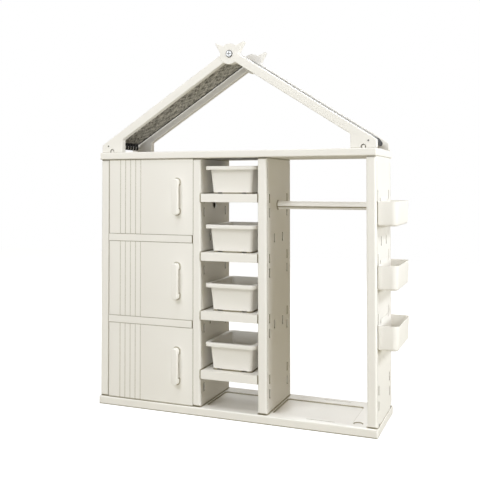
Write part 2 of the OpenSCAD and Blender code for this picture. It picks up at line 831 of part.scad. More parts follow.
module side_basket(level, drop) color(cream) {
    face = half_width - panel_inset + fit_gap;
    rim = level - drop;
    peg_in = panel_skin + 2 * fit_gap + tip_thickness;
    peg_low = drop - slot_height + fit_gap;
    translate([face, fitting_y, rim]) {
        difference() {
            union() {
                basket_form(basket_out, basket_length, basket_height, basket_corner,
                    basket_inner_corner, basket_bottom_edge);
                block([0, -basket_back_length / 2, -basket_back_rise],
                    [basket_wall, basket_back_length / 2, basket_back_rise]);
            }
            translate([basket_wall, 0, cut])
                basket_form(basket_out - 2 * basket_wall, basket_length - 2 * basket_wall,
                    basket_height - basket_wall + cut, basket_corner - basket_wall,
                    basket_inner_corner - basket_wall, basket_bottom_edge - basket_wall);
        }
        for (side = [-1, 1])
            translate([0, side * slot_spacing / 2, 0]) {
                block([0, -hook_width / 2, -basket_back_rise], [basket_wall, hook_width / 2, hook_rise]);
                block([-peg_in, -slot_width / 2 + fit_gap, peg_low],
                    [cut, slot_width / 2 - fit_gap, peg_low + peg_height]);
                block([-peg_in, -slot_width / 2 + fit_gap, peg_low - tip_drop],
                    [-peg_in + tip_thickness, slot_width / 2 - fit_gap, peg_low + cut]);
            }
    }
}

module side_basket_1() side_basket(levels[1], lowest_basket_drop);
module side_basket_2() side_basket(levels[2], basket_drop);
module side_basket_3() side_basket(levels[3], basket_drop);

// flat outline of a rafter on the right side, with its foot on the top board
module rafter_outline() {
    foot_x = rafter_end - foot_length;
    polygon([
        [0, ridge_z],
        [rafter_end, ridge_z - rafter_end * tan(roof_slope)],
        [rafter_end, top_z],
        [foot_x, top_z],
        [foot_x, ridge_z - beam_drop - foot_x * tan(roof_slope)],
        [0, ridge_z - beam_drop]]);
}

module ears_outline() {
    base_x = apex_radius * cos(30);
    base_z = apex_z + apex_radius * sin(30) - ear_height / 2;
    polygon([
        [-base_x, base_z],
        [-ear_half_span, apex_z + ear_height],
        [-apex_radius / 2, ridge_z + ear_saddle],
        [apex_radius / 2, ridge_z + ear_saddle],
        [ear_half_span, apex_z + ear_height],
        [base_x, base_z]]);
}

module foot_notch() {
    translate([rafter_end - cap_inset, 0, top_z + cap_height / 2]) {
        rotate([90, 0, 0])
            cylinder(h = rafter_thickness, d = notch_diameter, center = true);
        translate([0, 0, -cap_height / 2])
            cube([notch_diameter, rafter_thickness, cap_height], center = true);
    }
}

// holes of a rafter: a bar end, its screw and the foot cap's notch
module rafter_holes() {
    mid = rafter_thickness / 2;
    translate([eave_x, 0, eave_z])
        rotate([90, 0, 0]) {
            cylinder(h = rafter_thickness + 2 * cut, d = bar_screw_diameter + 2 * fit_gap, center = true);
            translate([0, 0, mid - bar_screw_sink - bar_screw_sink])
                cylinder(h = mid, d = bar_screw_head + 2 * fit_gap);
        }
    translate([0, -mid, 0])
        foot_notch();
}

// right rafter of the front pair, whose round plate lies in front
module plate_rafter() {
    half = rafter_thickness / 2;
    difference() {
        union() {
            along_y(rafter_thickness) {
                rafter_outline();
                ears_outline();
            }
            translate([0, 0, apex_z])
                rotate([90, 0, 0])
                    cylinder(h = half, r = apex_radius);
        }
        translate([0, -fit_gap / 2, apex_z])
            rotate([-90, 0, 0])
                cylinder(h = half + cut, r = apex_radius + fit_gap);
        translate([0, 0, apex_z])
            rotate([90, 0, 0])
                cylinder(h = rafter_thickness + 2 * cut, d = bolt_diameter + 2 * fit_gap, center = true);
        rafter_holes();
    }
}

// left rafter of the front pair, whose round plate lies behind
module tongue_rafter() {
    half = rafter_thickness / 2;
    difference() {
        union() {
            mirror([1, 0, 0])
                along_y(rafter_thickness)
                    rafter_outline();
            translate([0, fit_gap / 2, apex_z])
                rotate([-90, 0, 0])
                    cylinder(h = half - fit_gap / 2, r = apex_radius);
        }
        translate([0, fit_gap / 2, apex_z])
            rotate([90, 0, 0])
                cylinder(h = half + cut, r = apex_radius + fit_gap);
        translate([0, 0, apex_z])
            rotate([90, 0, 0])
                cylinder(h = rafter_thickness + 2 * cut, d = bolt_diameter + 2 * fit_gap, center = true);
        mirror([1, 0, 0])
            rafter_holes();
    }
}

module at_front() {
    translate([0, rafter_y + rafter_thickness / 2, 0])
        children();
}

// the rear pair is the front pair turned round
module at_rear() {
    translate([0, rafter_y + rafter_spacing + rafter_thickness / 2, 0])
        rotate([0, 0, 180])
            children();
}

module front_right_rafter() color(cream) at_front() plate_rafter();
module front_left_rafter() color(cream) at_front() tongue_rafter();
module rear_left_rafter() color(cream) at_rear() plate_rafter();
module rear_right_rafter() color(cream) at_rear() tongue_rafter();

module apex_bolt() {
    half = rafter_thickness / 2;
    translate([0, 0, apex_z])
        rotate([-90, 0, 0])
            difference() {
                union() {
                    translate([0, 0, -half - bolt_head_height])
                        cylinder(h = bolt_head_height, d = bolt_head_diameter);
                    translate([0, 0, -half])
                        cylinder(h = rafter_thickness + bolt_reach, d = bolt_diameter);
                }
                for (turn = [0, 90])
                    rotate([0, 0, turn])
                        translate([0, 0, -half - bolt_head_height])
                            cube([bolt_head_diameter / 2, bolt_head_diameter / 10, bolt_head_height],
                                center = true);
            }
}

module apex_bolts() color(steel) {
    at_front() apex_bolt();
    at_rear() apex_bolt();
}

module ridge_bar() color(cream) {
    translate([0, roof_y, apex_z])
        rotate([90, 0, 0])
            difference() {
                cylinder(h = rafter_run, d = ridge_bar_diameter, center = true);
                for (side = [-1, 1])
                    translate([0, 0, side * rafter_run / 2])
                        cylinder(h = 2 * bolt_reach + 2 * fit_gap, d = bolt_diameter + fit_gap, center = true);
            }
}

module eave_bar(side) color(cream) {
    translate([side * eave_x, roof_y, eave_z])
        rotate([90, 0, 0])
            difference() {
                cylinder(h = rafter_run, d = eave_bar_diameter, center = true);
                for (end = [-1, 1])
                    translate([0, 0, end * rafter_run / 2])
                        cylinder(h = 2 * bolt_reach + 2 * fit_gap, d = bar_screw_diameter + fit_gap,
                            center = true);
            }
}

module left_eave_bar() eave_bar(-1);
module right_eave_bar() eave_bar(1);

module bar_screw(x) {
    half = rafter_thickness / 2;
    translate([x, 0, eave_z])
        rotate([-90, 0, 0]) {
            translate([0, 0, -half + bar_screw_sink])
                cylinder(h = bar_screw_sink, d = bar_screw_head);
            translate([0, 0, -half + bar_screw_sink])
                cylinder(h = rafter_thickness - bar_screw_sink + bolt_reach, d = bar_screw_diameter);
        }
}

module bar_screws() color(steel) {
    for (x = [-eave_x, eave_x]) {
        at_front() bar_screw(x);
        at_rear() bar_screw(x);
    }
}

module foot_cap(x) {
    translate([x, -cap_diameter / 2 - fit_gap, top_z]) {
        cylinder(h = cap_height / 2, d = cap_diameter);
        translate([0, 0, cap_height / 2])
            intersection() {
                cylinder(h = cap_height / 2, d = cap_diameter);
                translate([0, 0, cap_height / 2 - cap_diameter])
                    sphere(d = 2 * cap_diameter);
            }
    }
}

module foot_caps() color(cream) {
    for (x = [-rafter_end + cap_inset, rafter_end - cap_inset]) {
        at_front() foot_cap(x);
        at_rear() foot_cap(x);
    }
}

// line of the cloth over the ridge bar, at a given distance from the bar's middle
function cloth_line(r, reach, steps = 8) = concat(
    [[-r * sin(roof_slope) - reach * cos(roof_slope), r * cos(roof_slope) - reach * sin(roof_slope)]],
    [for (i = [0 : steps]) let (turn = roof_slope * (2 * i / steps - 1)) [r * sin(turn), r * cos(turn)]],
    [[r * sin(roof_slope) + reach * cos(roof_slope), r * cos(roof_slope) - reach * sin(roof_slope)]]);

module roof_cloth() color(cloth_grey) {
    reach = (cloth_end_x - cloth_radius * sin(roof_slope)) / cos(roof_slope);
    inside = cloth_line(cloth_radius, reach);
    last = len(inside) - 1;
    translate([0, roof_y, apex_z])
        along_y(cloth_length)
            polygon(concat(cloth_line(cloth_radius + cloth_thickness, reach),
                [for (i = [0 : last]) inside[last - i]]));
}

// webbing loop round the eave bar, its tail under the cloth's lower edge
module cloth_loop() {
    ring = eave_bar_diameter / 2 + fit_gap;
    end_x = cloth_end_x;
    end_z = apex_z + (cloth_radius - fit_gap) / cos(roof_slope) - cloth_end_x * tan(roof_slope);
    lean = atan2(end_z - eave_z, eave_x - end_x);
    reach = norm([eave_x - end_x, end_z - eave_z]);
    translate([eave_x, 0, eave_z])
        along_y(loop_width)
            difference() {
                union() {
                    circle(ring + webbing_thickness);
                    rotate([0, 0, 180 - lean])
                        translate([0, -webbing_thickness])
                            square([reach - 1.5 * webbing_thickness, 2 * webbing_thickness]);
                }
                circle(ring);
            }
}

module cloth_loops() {
    for (i = [0 : loop_count - 1])
        translate([0, roof_y + (i - (loop_count - 1) / 2) * loop_pitch, 0])
            cloth_loop();
}

module right_cloth_loops() color(webbing_black) cloth_loops();
module left_cloth_loops() color(webbing_black) mirror([1, 0, 0]) cloth_loops();

module panel_screws() color(steel) {
    for (sx = [-1, 1], sy = [-1, 1])
        translate([sx * (half_width - panel_inset), sy * screw_spacing / 2, base_height + screw_rise])
            rotate([0, -90 * sx, 0]) {
                cylinder(h = screw_length, d = screw_diameter);
                translate([0, 0, -screw_head_height])
                    cylinder(h = screw_head_height, d = screw_head_diameter);
            }
}

base_tray();
top_board();
left_side_panel();
left_divider();
right_divider();
right_side_panel();
lower_cabinet_shelf();
upper_cabinet_shelf();
cabinet_back();
bin_shelf_1();
bin_shelf_2();
bin_shelf_3();
bin_shelf_4();
lower_door();
middle_door();
upper_door();
lower_door_handle();
middle_door_handle();
upper_door_handle();
lower_door_pins();
middle_door_pins();
upper_door_pins();
lower_door_plate();
middle_door_plate();
upper_door_plate();
door_catches();
bin_1();
bin_2();
bin_3();
bin_4();
clothes_rail();
side_basket_1();
side_basket_2();
side_basket_3();
front_left_rafter();
front_right_rafter();
rear_left_rafter();
rear_right_rafter();
apex_bolts();
ridge_bar();
left_eave_bar();
right_eave_bar();
roof_cloth();
left_cloth_loops();
right_cloth_loops();
bar_screws();
foot_caps();
panel_plugs();
panel_screws();
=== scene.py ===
import json
import math

import bmesh
import bpy
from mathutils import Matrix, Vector
from mathutils.geometry import tessellate_polygon


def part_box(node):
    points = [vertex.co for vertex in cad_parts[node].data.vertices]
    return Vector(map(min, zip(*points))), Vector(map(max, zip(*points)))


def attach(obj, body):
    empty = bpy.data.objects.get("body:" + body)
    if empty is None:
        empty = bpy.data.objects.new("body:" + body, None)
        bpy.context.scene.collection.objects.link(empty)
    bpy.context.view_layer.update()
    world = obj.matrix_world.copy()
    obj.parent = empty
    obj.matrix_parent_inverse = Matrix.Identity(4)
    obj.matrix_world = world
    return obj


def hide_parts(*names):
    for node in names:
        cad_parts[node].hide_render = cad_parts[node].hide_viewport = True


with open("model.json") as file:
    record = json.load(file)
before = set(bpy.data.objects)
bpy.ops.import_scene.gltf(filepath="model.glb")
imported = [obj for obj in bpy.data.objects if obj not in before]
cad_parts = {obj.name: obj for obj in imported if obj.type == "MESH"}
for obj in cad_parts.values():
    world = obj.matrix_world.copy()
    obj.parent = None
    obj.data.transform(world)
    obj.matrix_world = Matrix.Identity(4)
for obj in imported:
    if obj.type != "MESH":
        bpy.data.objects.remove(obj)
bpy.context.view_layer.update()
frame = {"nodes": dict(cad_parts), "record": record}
nodes = frame["nodes"]
mm = 0.001
print("frame loaded,", len(nodes), "nodes")


# a colour as picked on a screen, turned into light values
def screenColour(red, green, blue):
    def light(value):
        value /= 255
        return value / 12.92 if value <= 0.04045 else ((value + 0.055) / 1.055) ** 2.4
    return (light(red), light(green), light(blue), 1)


# ready material with its shader, object coordinates and two small helpers
def startMaterial(name):
    material = bpy.data.materials.new(name)
    material.use_nodes = True
    tree = material.node_tree
    shader = tree.nodes["Principled BSDF"]
    coords = tree.nodes.new("ShaderNodeTexCoord").outputs["Object"]

    def add(kind, **values):
        node = tree.nodes.new(kind)
        for key, value in values.items():
            setattr(node, key, value)
        return node

    return material, shader, coords, add, tree.links.new


# noise that runs from 0 to 1, with its grain size in millimetres
def addNoise(add, link, coords, size, detail=2, stretch=None):
    node = add("ShaderNodeTexNoise")
    node.inputs["Scale"].default_value = 1000 / size
    node.inputs["Detail"].default_value = detail
    if stretch:
        mapping = add("ShaderNodeMapping")
        mapping.inputs["Scale"].default_value = stretch
        link(coords, mapping.inputs["Vector"])
        coords = mapping.outputs["Vector"]
    link(coords, node.inputs["Vector"])
    return node.outputs["Fac"]


# carries a value from one range over to another
def addRange(add, link, value, low, high, fromLow=0.3, fromHigh=0.7):
    node = add("ShaderNodeMapRange")
    node.inputs["From Min"].default_value = fromLow
    node.inputs["From Max"].default_value = fromHigh
    node.inputs["To Min"].default_value = low
    node.inputs["To Max"].default_value = high
    link(value, node.inputs["Value"])
    return node.outputs["Result"]


# mixes two colours or sockets by a factor
def addBlend(add, link, factor, first, second):
    node = add("ShaderNodeMix", data_type="RGBA")
    link(factor, node.inputs["Factor"])
    for value, socket in ((first, node.inputs["A"]), (second, node.inputs["B"])):
        if isinstance(value, tuple):
            socket.default_value = value
        else:
            link(value, socket)
    return node.outputs["Result"]


# height as a bump, its depth in millimetres, over another bump if there is one
def addBump(add, link, height, depth, strength=1.0, below=None):
    node = add("ShaderNodeBump")
    node.inputs["Strength"].default_value = strength
    node.inputs["Distance"].default_value = depth * mm
    link(height, node.inputs["Height"])
    if below:
        link(below, node.inputs["Normal"])
    return node.outputs["Normal"]


waveRepeat = 6.2  # scale steps of the wave texture to one rib


# straight ribs or threads square to a direction, a little wobbly
def addRibs(add, link, coords, direction, size, wobble):
    ribs = add("ShaderNodeTexWave", wave_type="BANDS", bands_direction=direction)
    ribs.inputs["Scale"].default_value = 1000 / size / waveRepeat
    ribs.inputs["Distortion"].default_value = wobble
    link(coords, ribs.inputs["Vector"])
    return ribs.outputs["Fac"]


creamLook = {
    "colour": (240, 237, 230), "paleColour": (243, 240, 233), "cloudSize": 160, "patchSize": 40,
    "grainSize": 0.9, "grainDepth": 0.03, "grainStrength": 0.5, "waveSize": 70, "waveDepth": 0.12,
    "roughLow": 0.42, "roughHigh": 0.54, "gloss": 0.22,
    # painted shade: colour, reach and samples of the darkening in crevices, gaps and contacts
    "paintedShadeColour": (160, 152, 126), "creviceReach": 7, "creviceSamples": 8,
    "paintedShadeFull": 0.65, "paintedShadeEnd": 1,  # openness where the painted shade colour is full, and where the painted shade ends
    "ownShapeOnly": False,  # painted shade from crevices of the piece itself, not from those beside its neighbours
}


# moulded plastic: faint clouds in the colour, painted shade darkening its crevices, gaps and contacts, fine
# grain and a slow waviness
def plasticMaterial(name, look):
    material, shader, coords, add, link = startMaterial(name)
    cloud = addNoise(add, link, coords, look["cloudSize"])
    unshadedColour = addBlend(add, link, cloud, screenColour(*look["colour"]), screenColour(*look["paleColour"]))
    # painted shade: an ambient occlusion mask blends the colour towards the shade colour where the surface is
    # closed in
    crevice = add("ShaderNodeAmbientOcclusion", samples=look["creviceSamples"],
                  only_local=look["ownShapeOnly"])
    crevice.inputs["Distance"].default_value = look["creviceReach"] * mm
    openness = addRange(add, link, crevice.outputs["AO"], 0, 1, look["paintedShadeFull"], look["paintedShadeEnd"])
    colour = addBlend(add, link, openness, screenColour(*look["paintedShadeColour"]), unshadedColour)
    link(colour, shader.inputs["Base Color"])
    patch = addNoise(add, link, coords, look["patchSize"], detail=3)
    link(addRange(add, link, patch, look["roughLow"], look["roughHigh"]), shader.inputs["Roughness"])
    wave = addBump(add, link, addNoise(add, link, coords, look["waveSize"], detail=1), look["waveDepth"])
    grain = addNoise(add, link, coords, look["grainSize"], detail=1)
    link(addBump(add, link, grain, look["grainDepth"], look["grainStrength"], wave), shader.inputs["Normal"])
    shader.inputs["Specular IOR Level"].default_value = look["gloss"]
    return material


steelLook = {
    "colour": (150, 150, 152), "paleColour": (182, 182, 184), "rough": 0.32, "smoother": 0.06, "rougher": 0.1,
    "brushSize": 1.2, "brushStretch": 0.1, "brushDepth": 0.02, "brushStrength": 0.4,
}


# brushed steel: fine streaks in colour, roughness and height
def steelMaterial(name, look):
    material, shader, coords, add, link = startMaterial(name)
    streak = addNoise(add, link, coords, look["brushSize"], detail=4, stretch=(1, 1, look["brushStretch"]))
    link(addBlend(add, link, streak, screenColour(*look["colour"]), screenColour(*look["paleColour"])),
         shader.inputs["Base Color"])
    rough = addRange(add, link, streak, look["rough"] - look["smoother"], look["rough"] + look["rougher"])
    link(rough, shader.inputs["Roughness"])
    link(addBump(add, link, streak, look["brushDepth"], look["brushStrength"]), shader.inputs["Normal"])
    shader.inputs["Metallic"].default_value = 1
    return material


clothLook = {
    "paleColour": (222, 219, 211), "darkColour": (96, 94, 88), "streakWidth": 9.5, "streakLength": 32,
    "streakDark": 0.36, "streakPale": 0.64, "zigzag": 14, "lean": 0.9, "threadSize": 1.5, "threadDepth": 0.25,
    "wobble": 0.4, "threadGap": 0.2, "rough": 0.85, "sheen": 0.3, "sheenRough": 0.3,
}


# woven cloth: fine slanted streaks that turn back and forth in rows, over a plain weave
def roofClothMaterial(name, look):
    material, shader, coords, add, link = startMaterial(name)
    apart = add("ShaderNodeSeparateXYZ")
    link(coords, apart.inputs["Vector"])
    turned = add("ShaderNodeMath", operation="PINGPONG")
    link(apart.outputs["Y"], turned.inputs[0])
    turned.inputs[1].default_value = look["zigzag"] * mm
    leaning = add("ShaderNodeMath", operation="MULTIPLY_ADD")
    link(turned.outputs["Value"], leaning.inputs[0])
    leaning.inputs[1].default_value = look["lean"]
    link(apart.outputs["X"], leaning.inputs[2])
    place = add("ShaderNodeCombineXYZ")
    link(leaning.outputs["Value"], place.inputs["X"])
    link(apart.outputs["Y"], place.inputs["Y"])
    streaks = addNoise(add, link, place.outputs["Vector"], look["streakWidth"], 3,
                       (1, look["streakWidth"] / look["streakLength"], 1))
    weave = add("ShaderNodeMath", operation="MULTIPLY")
    for index, direction in enumerate("YX"):
        link(addRibs(add, link, coords, direction, look["threadSize"], look["wobble"]), weave.inputs[index])
    dark, pale = screenColour(*look["darkColour"]), screenColour(*look["paleColour"])
    streak = addRange(add, link, streaks, 0, 1, look["streakDark"], look["streakPale"])
    shade = addRange(add, link, weave.outputs["Value"], 0, look["threadGap"], 0, 1)
    pattern = addBlend(add, link, streak, dark, pale)
    link(addBlend(add, link, shade, pattern, dark), shader.inputs["Base Color"])
    link(addBump(add, link, weave.outputs["Value"], look["threadDepth"]), shader.inputs["Normal"])
    shader.inputs["Roughness"].default_value = look["rough"]
    shader.inputs["Sheen Weight"].default_value = look["sheen"]
    shader.inputs["Sheen Roughness"].default_value = look["sheenRough"]
    return material


webbingLook = {
    "colour": (16, 16, 17), "paleColour": (36, 36, 38), "ribSize": 2.2, "ribDepth": 0.3, "wobble": 0.6,
    "fuzzSize": 1.1, "rough": 0.8, "sheen": 0.2,
}


# flat webbing: ribs across the strap
def webbingMaterial(name, look):
    material, shader, coords, add, link = startMaterial(name)
    ribs = addRibs(add, link, coords, "Y", look["ribSize"], look["wobble"])
    fuzz = addNoise(add, link, coords, look["fuzzSize"], detail=3)
    tone = add("ShaderNodeMath", operation="MULTIPLY")
    link(ribs, tone.inputs[0])
    link(fuzz, tone.inputs[1])
    link(addBlend(add, link, tone.outputs["Value"], screenColour(*look["colour"]),
                  screenColour(*look["paleColour"])), shader.inputs["Base Color"])
    link(addBump(add, link, ribs, look["ribDepth"]), shader.inputs["Normal"])
    shader.inputs["Roughness"].default_value = look["rough"]
    shader.inputs["Sheen Weight"].default_value = look["sheen"]
    return material


creamPlastic = plasticMaterial("creamPlastic", creamLook)
# a copy of the plastic with only faint painted crevice shade
faintShadePlastic = plasticMaterial("faintShadePlastic", {**creamLook, "paintedShadeFull": 0.2, "paintedShadeEnd": 0.7})
# a copy of the plastic with darker, deeper painted shade in the slots of its own shape
deepSlotShadePlastic = plasticMaterial("deepSlotShadePlastic", {
    **creamLook, "paintedShadeColour": (96, 88, 66), "creviceReach": 16, "paintedShadeFull": 0.35, "paintedShadeEnd": 0.8,
    "ownShapeOnly": True})
screwSteel = steelMaterial("screwSteel", steelLook)
# darker steel for the bar screws and the bolts' bands and shanks; in the bolts' cross recesses it is painted
# shade
darkSteelAndRecessShade = steelMaterial("darkSteelAndRecessShade", {
    **steelLook, "colour": (84, 82, 78), "paleColour": (112, 110, 105), "rough": 0.4})
boltChrome = steelMaterial("boltChrome", {
    **steelLook, "colour": (168, 168, 168), "paleColour": (196, 196, 194), "rough": 0.4})
roofClothFabric = roofClothMaterial("roofClothFabric", clothLook)
blackWebbing = webbingMaterial("blackWebbing", webbingLook)
finishes = {
    "cream_plastic": creamPlastic, "screw_steel": screwSteel, "bolt_chrome": boltChrome,
    "roof_cloth": roofClothFabric, "black_webbing": blackWebbing,
}
slotOf = {part["node"]: part["material_slot"] for part in frame["record"]["subparts"]}
print("materials made")


# one material on the whole piece
def dress(piece, material):
    piece.data.materials.clear()
    piece.data.materials.append(material)


edgeAngles = {"sharp": 35, "square": 62, "long": 40, "shortestLong": 20}


# node group that finds steep edges: they are kept out of the smooth shading,
# or with a shortest length the longer ones are weighted for rounding
def steepEdgeGroup(name, angle, shortest=None):
    group = bpy.data.node_groups.new(name, "GeometryNodeTree")
    group.interface.new_socket("Geometry", in_out="INPUT", socket_type="NodeSocketGeometry")
    group.interface.new_socket("Geometry", in_out="OUTPUT", socket_type="NodeSocketGeometry")

    def over(value, limit):
        compare = group.nodes.new("FunctionNodeCompare")
        compare.inputs[1].default_value = limit
        group.links.new(value, compare.inputs[0])
        return compare.outputs["Result"]

    start, end = group.nodes.new("NodeGroupInput"), group.nodes.new("NodeGroupOutput")
    turned = group.nodes.new("GeometryNodeInputMeshEdgeAngle")
    chosen = over(turned.outputs["Unsigned Angle"], math.radians(angle))
    if shortest is None:
        mark = group.nodes.new("GeometryNodeSetShadeSmooth")
        mark.domain = "EDGE"
        mark.inputs["Shade Smooth"].default_value = False
    else:
        ends = group.nodes.new("GeometryNodeInputMeshEdgeVertices")
        apart = group.nodes.new("ShaderNodeVectorMath")
        apart.operation = "DISTANCE"
        group.links.new(ends.outputs["Position 1"], apart.inputs[0])
        group.links.new(ends.outputs["Position 2"], apart.inputs[1])
        both = group.nodes.new("FunctionNodeBooleanMath")
        group.links.new(chosen, both.inputs[0])
        group.links.new(over(apart.outputs["Value"], shortest * mm), both.inputs[1])
        chosen = both.outputs[0]
        mark = group.nodes.new("GeometryNodeStoreNamedAttribute")
        mark.domain = "EDGE"
        mark.inputs["Name"].default_value = "bevel_weight_edge"
        mark.inputs["Value"].default_value = 1.0
    group.links.new(start.outputs[0], mark.inputs["Geometry"])
    group.links.new(chosen, mark.inputs["Selection"])
    group.links.new(mark.outputs["Geometry"], end.inputs[0])
    return group


sharpEdges = steepEdgeGroup("sharpEdges", edgeAngles["sharp"])
squareEdges = steepEdgeGroup("squareEdges", edgeAngles["square"])
longEdges = steepEdgeGroup("longEdges", edgeAngles["long"], edgeAngles["shortestLong"])
softLook = {"weld": 0.01, "flatAngle": 0.4, "steps": 3, "angle": 40}


# even shading for a carried-over solid, with its plain edges rounded, or its long ones only;
# a solid with holes in its flats keeps its own triangles, width 0 leaves the edges it has
def soften(piece, width, look, holed, longOnly):
    weld = piece.modifiers.new("joinFaces", "WELD")
    weld.merge_threshold = look["weld"] * mm
    if not holed:
        flat = piece.modifiers.new("flatFaces", "DECIMATE")
        flat.decimate_type = "DISSOLVE"
        flat.angle_limit = math.radians(look["flatAngle"])
    if width:
        if longOnly:
            piece.modifiers.new("longEdges", "NODES").node_group = longEdges
        bevel = piece.modifiers.new("softEdges", "BEVEL")
        bevel.width = width * mm
        bevel.segments = look["steps"]
        bevel.limit_method = "WEIGHT" if longOnly else "ANGLE"
        bevel.angle_limit = math.radians(look["angle"])
        bevel.miter_outer = "MITER_ARC"
        bevel.use_clamp_overlap = not holed
    if not width or longOnly:
        piece.modifiers.new("sharpEdges", "NODES").node_group = squareEdges if width else sharpEdges
    smooth = piece.modifiers.new("evenShade", "WEIGHTED_NORMAL")
    smooth.keep_sharp = True
    for face in piece.data.polygons:
        face.use_smooth = True


# width of the rounded edges, own finishes and holes, each by a part of the solid's name; most own finishes
# are copies of the plastic with fainter or deeper painted crevice shade
edgeWidths = {
    "base_tray": 0, "top_board": 0, "_panel": 0, "_divider": 0, "_shelf": 2.0, "cabinet_back": 0,
    "_rafter": 3.0, "_bar": 0.8, "screws": 0.5, "caps": 0.8, "_catches": 1.0,
}
holedKinds = ("_panel", "_divider", "_shelf", "_rafter", "base_tray", "top_board")
# the panel slots get deeper painted shade, rafters, eave bars, caps and the left panel get fainter painted
# shade
ownFinishesAndShade = {
    "bar_screws": darkSteelAndRecessShade, "right_side_panel": deepSlotShadePlastic, "left_side_panel": faintShadePlastic,
    "_rafter": faintShadePlastic, "_eave_bar": faintShadePlastic, "foot_caps": faintShadePlastic,
}
for name, piece in nodes.items():
    own = [finish for key, finish in ownFinishesAndShade.items() if key in name]
    dress(piece, own[0] if own else finishes[slotOf[name]])
    widths = [width for key, width in edgeWidths.items() if key in name]
    if widths:
        soften(piece, widths[0], softLook, holed=any(key in name for key in holedKinds),
               longOnly="_rafter" in name)
print("solids dressed")


# own piece from points in millimetres and faces
def makePiece(name, points, faces, material):
    mesh = bpy.data.meshes.new(name)
    mesh.from_pydata([tuple(value * mm for value in point) for point in points], [], faces)
    mesh.validate()
    piece = bpy.data.objects.new(name, mesh)
    bpy.context.scene.collection.objects.link(piece)
    dress(piece, material)
    return piece


# smooth shading that stops at edges steeper than the angle
def shadeSmooth(piece, angle):
    mesh = bmesh.new()
    mesh.from_mesh(piece.data)
    bmesh.ops.recalc_face_normals(mesh, faces=mesh.faces)
    for face in mesh.faces:
        face.smooth = True
    for edge in mesh.edges:
        if len(edge.link_faces) == 2:
            edge.smooth = edge.calc_face_angle() < math.radians(angle)
    mesh.to_mesh(piece.data)
    mesh.free()


# an own piece moves with a body and stands for a solid
def standFor(piece, body, slot, *names):
    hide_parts(*names)
    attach(piece, body)


# closed ring round a middle point; corner radii go round from +X+Y against the clock,
# stations are extra points along the back and front sides, from the middle
def cornerRing(middle, halfX, halfY, corners, height, steps, stations=()):
    ring = []
    for index, radius in enumerate(corners):
        signX = 1 if index in (0, 3) else -1
        signY = 1 if index in (0, 1) else -1
        for step in range(steps + 1):
            turn = math.radians(90 * (index + step / steps))
            ring.append((middle[0] + signX * (halfX - radius) + radius * math.cos(turn),
                         middle[1] + signY * (halfY - radius) + radius * math.sin(turn), height))
        if index in (0, 2):
            ring += [(middle[0] - signX * x, middle[1] + signY * halfY, height) for x in stations]
    return ring


nearHalf = 0.49  # most of a side that the round of one corner may take


# a line of (inset, height, radius) corners, each rounded with a short arc
def roundLine(corners, steps=4):
    line = []
    for index, (inset, height, radius) in enumerate(corners):
        here = Vector((inset, height))
        if radius == 0 or index in (0, len(corners) - 1):
            line.append((inset, height))
            continue
        before = Vector(corners[index - 1][:2]) - here
        after = Vector(corners[index + 1][:2]) - here
        reach = min(radius, before.length * nearHalf, after.length * nearHalf)
        start = here + before.normalized() * reach
        end = here + after.normalized() * reach
        for step in range(steps + 1):
            t = step / steps
            line.append(tuple(start * (1 - t) ** 2 + here * 2 * t * (1 - t) + end * t ** 2))
    return line


# skin over a stack of rings, closed at both ends
def skinRings(rings):
    count = len(rings[0])
    points = [point for ring in rings for point in ring]
    faces = [tuple(reversed(range(count)))]
    for k in range(len(rings) - 1):
        for i in range(count):
            j = (i + 1) % count
            faces.append((k * count + i, k * count + j, (k + 1) * count + j, (k + 1) * count + i))
    last = (len(rings) - 1) * count
    faces.append(tuple(range(last, last + count)))
    return points, faces


binLook = {
    "rimCorner": 21, "bodyCorner": 16, "leastCorner": 12, "cornerSteps": 8, "smoothAngle": 40,
    "wall": 2.4, "overhang": 16, "lean": 10, "bevel": 6, "rimHeight": 15.5,
    "floorBevel": 0.6, "floorMargin": 8,
    "rimRound": 3.4, "mouthRound": 2.2, "rimEndRound": 0.9, "rimInnerRound": 1, "neckRound": 1.6,
    "bevelRound": 3, "footRound": 1, "footInnerRound": 0.6, "floorRound": 5,
    "footHeight": 5, "notchWidth": 22, "notchSpacing": 106, "notchDepth": 60, "notchEdge": 0.1,
}


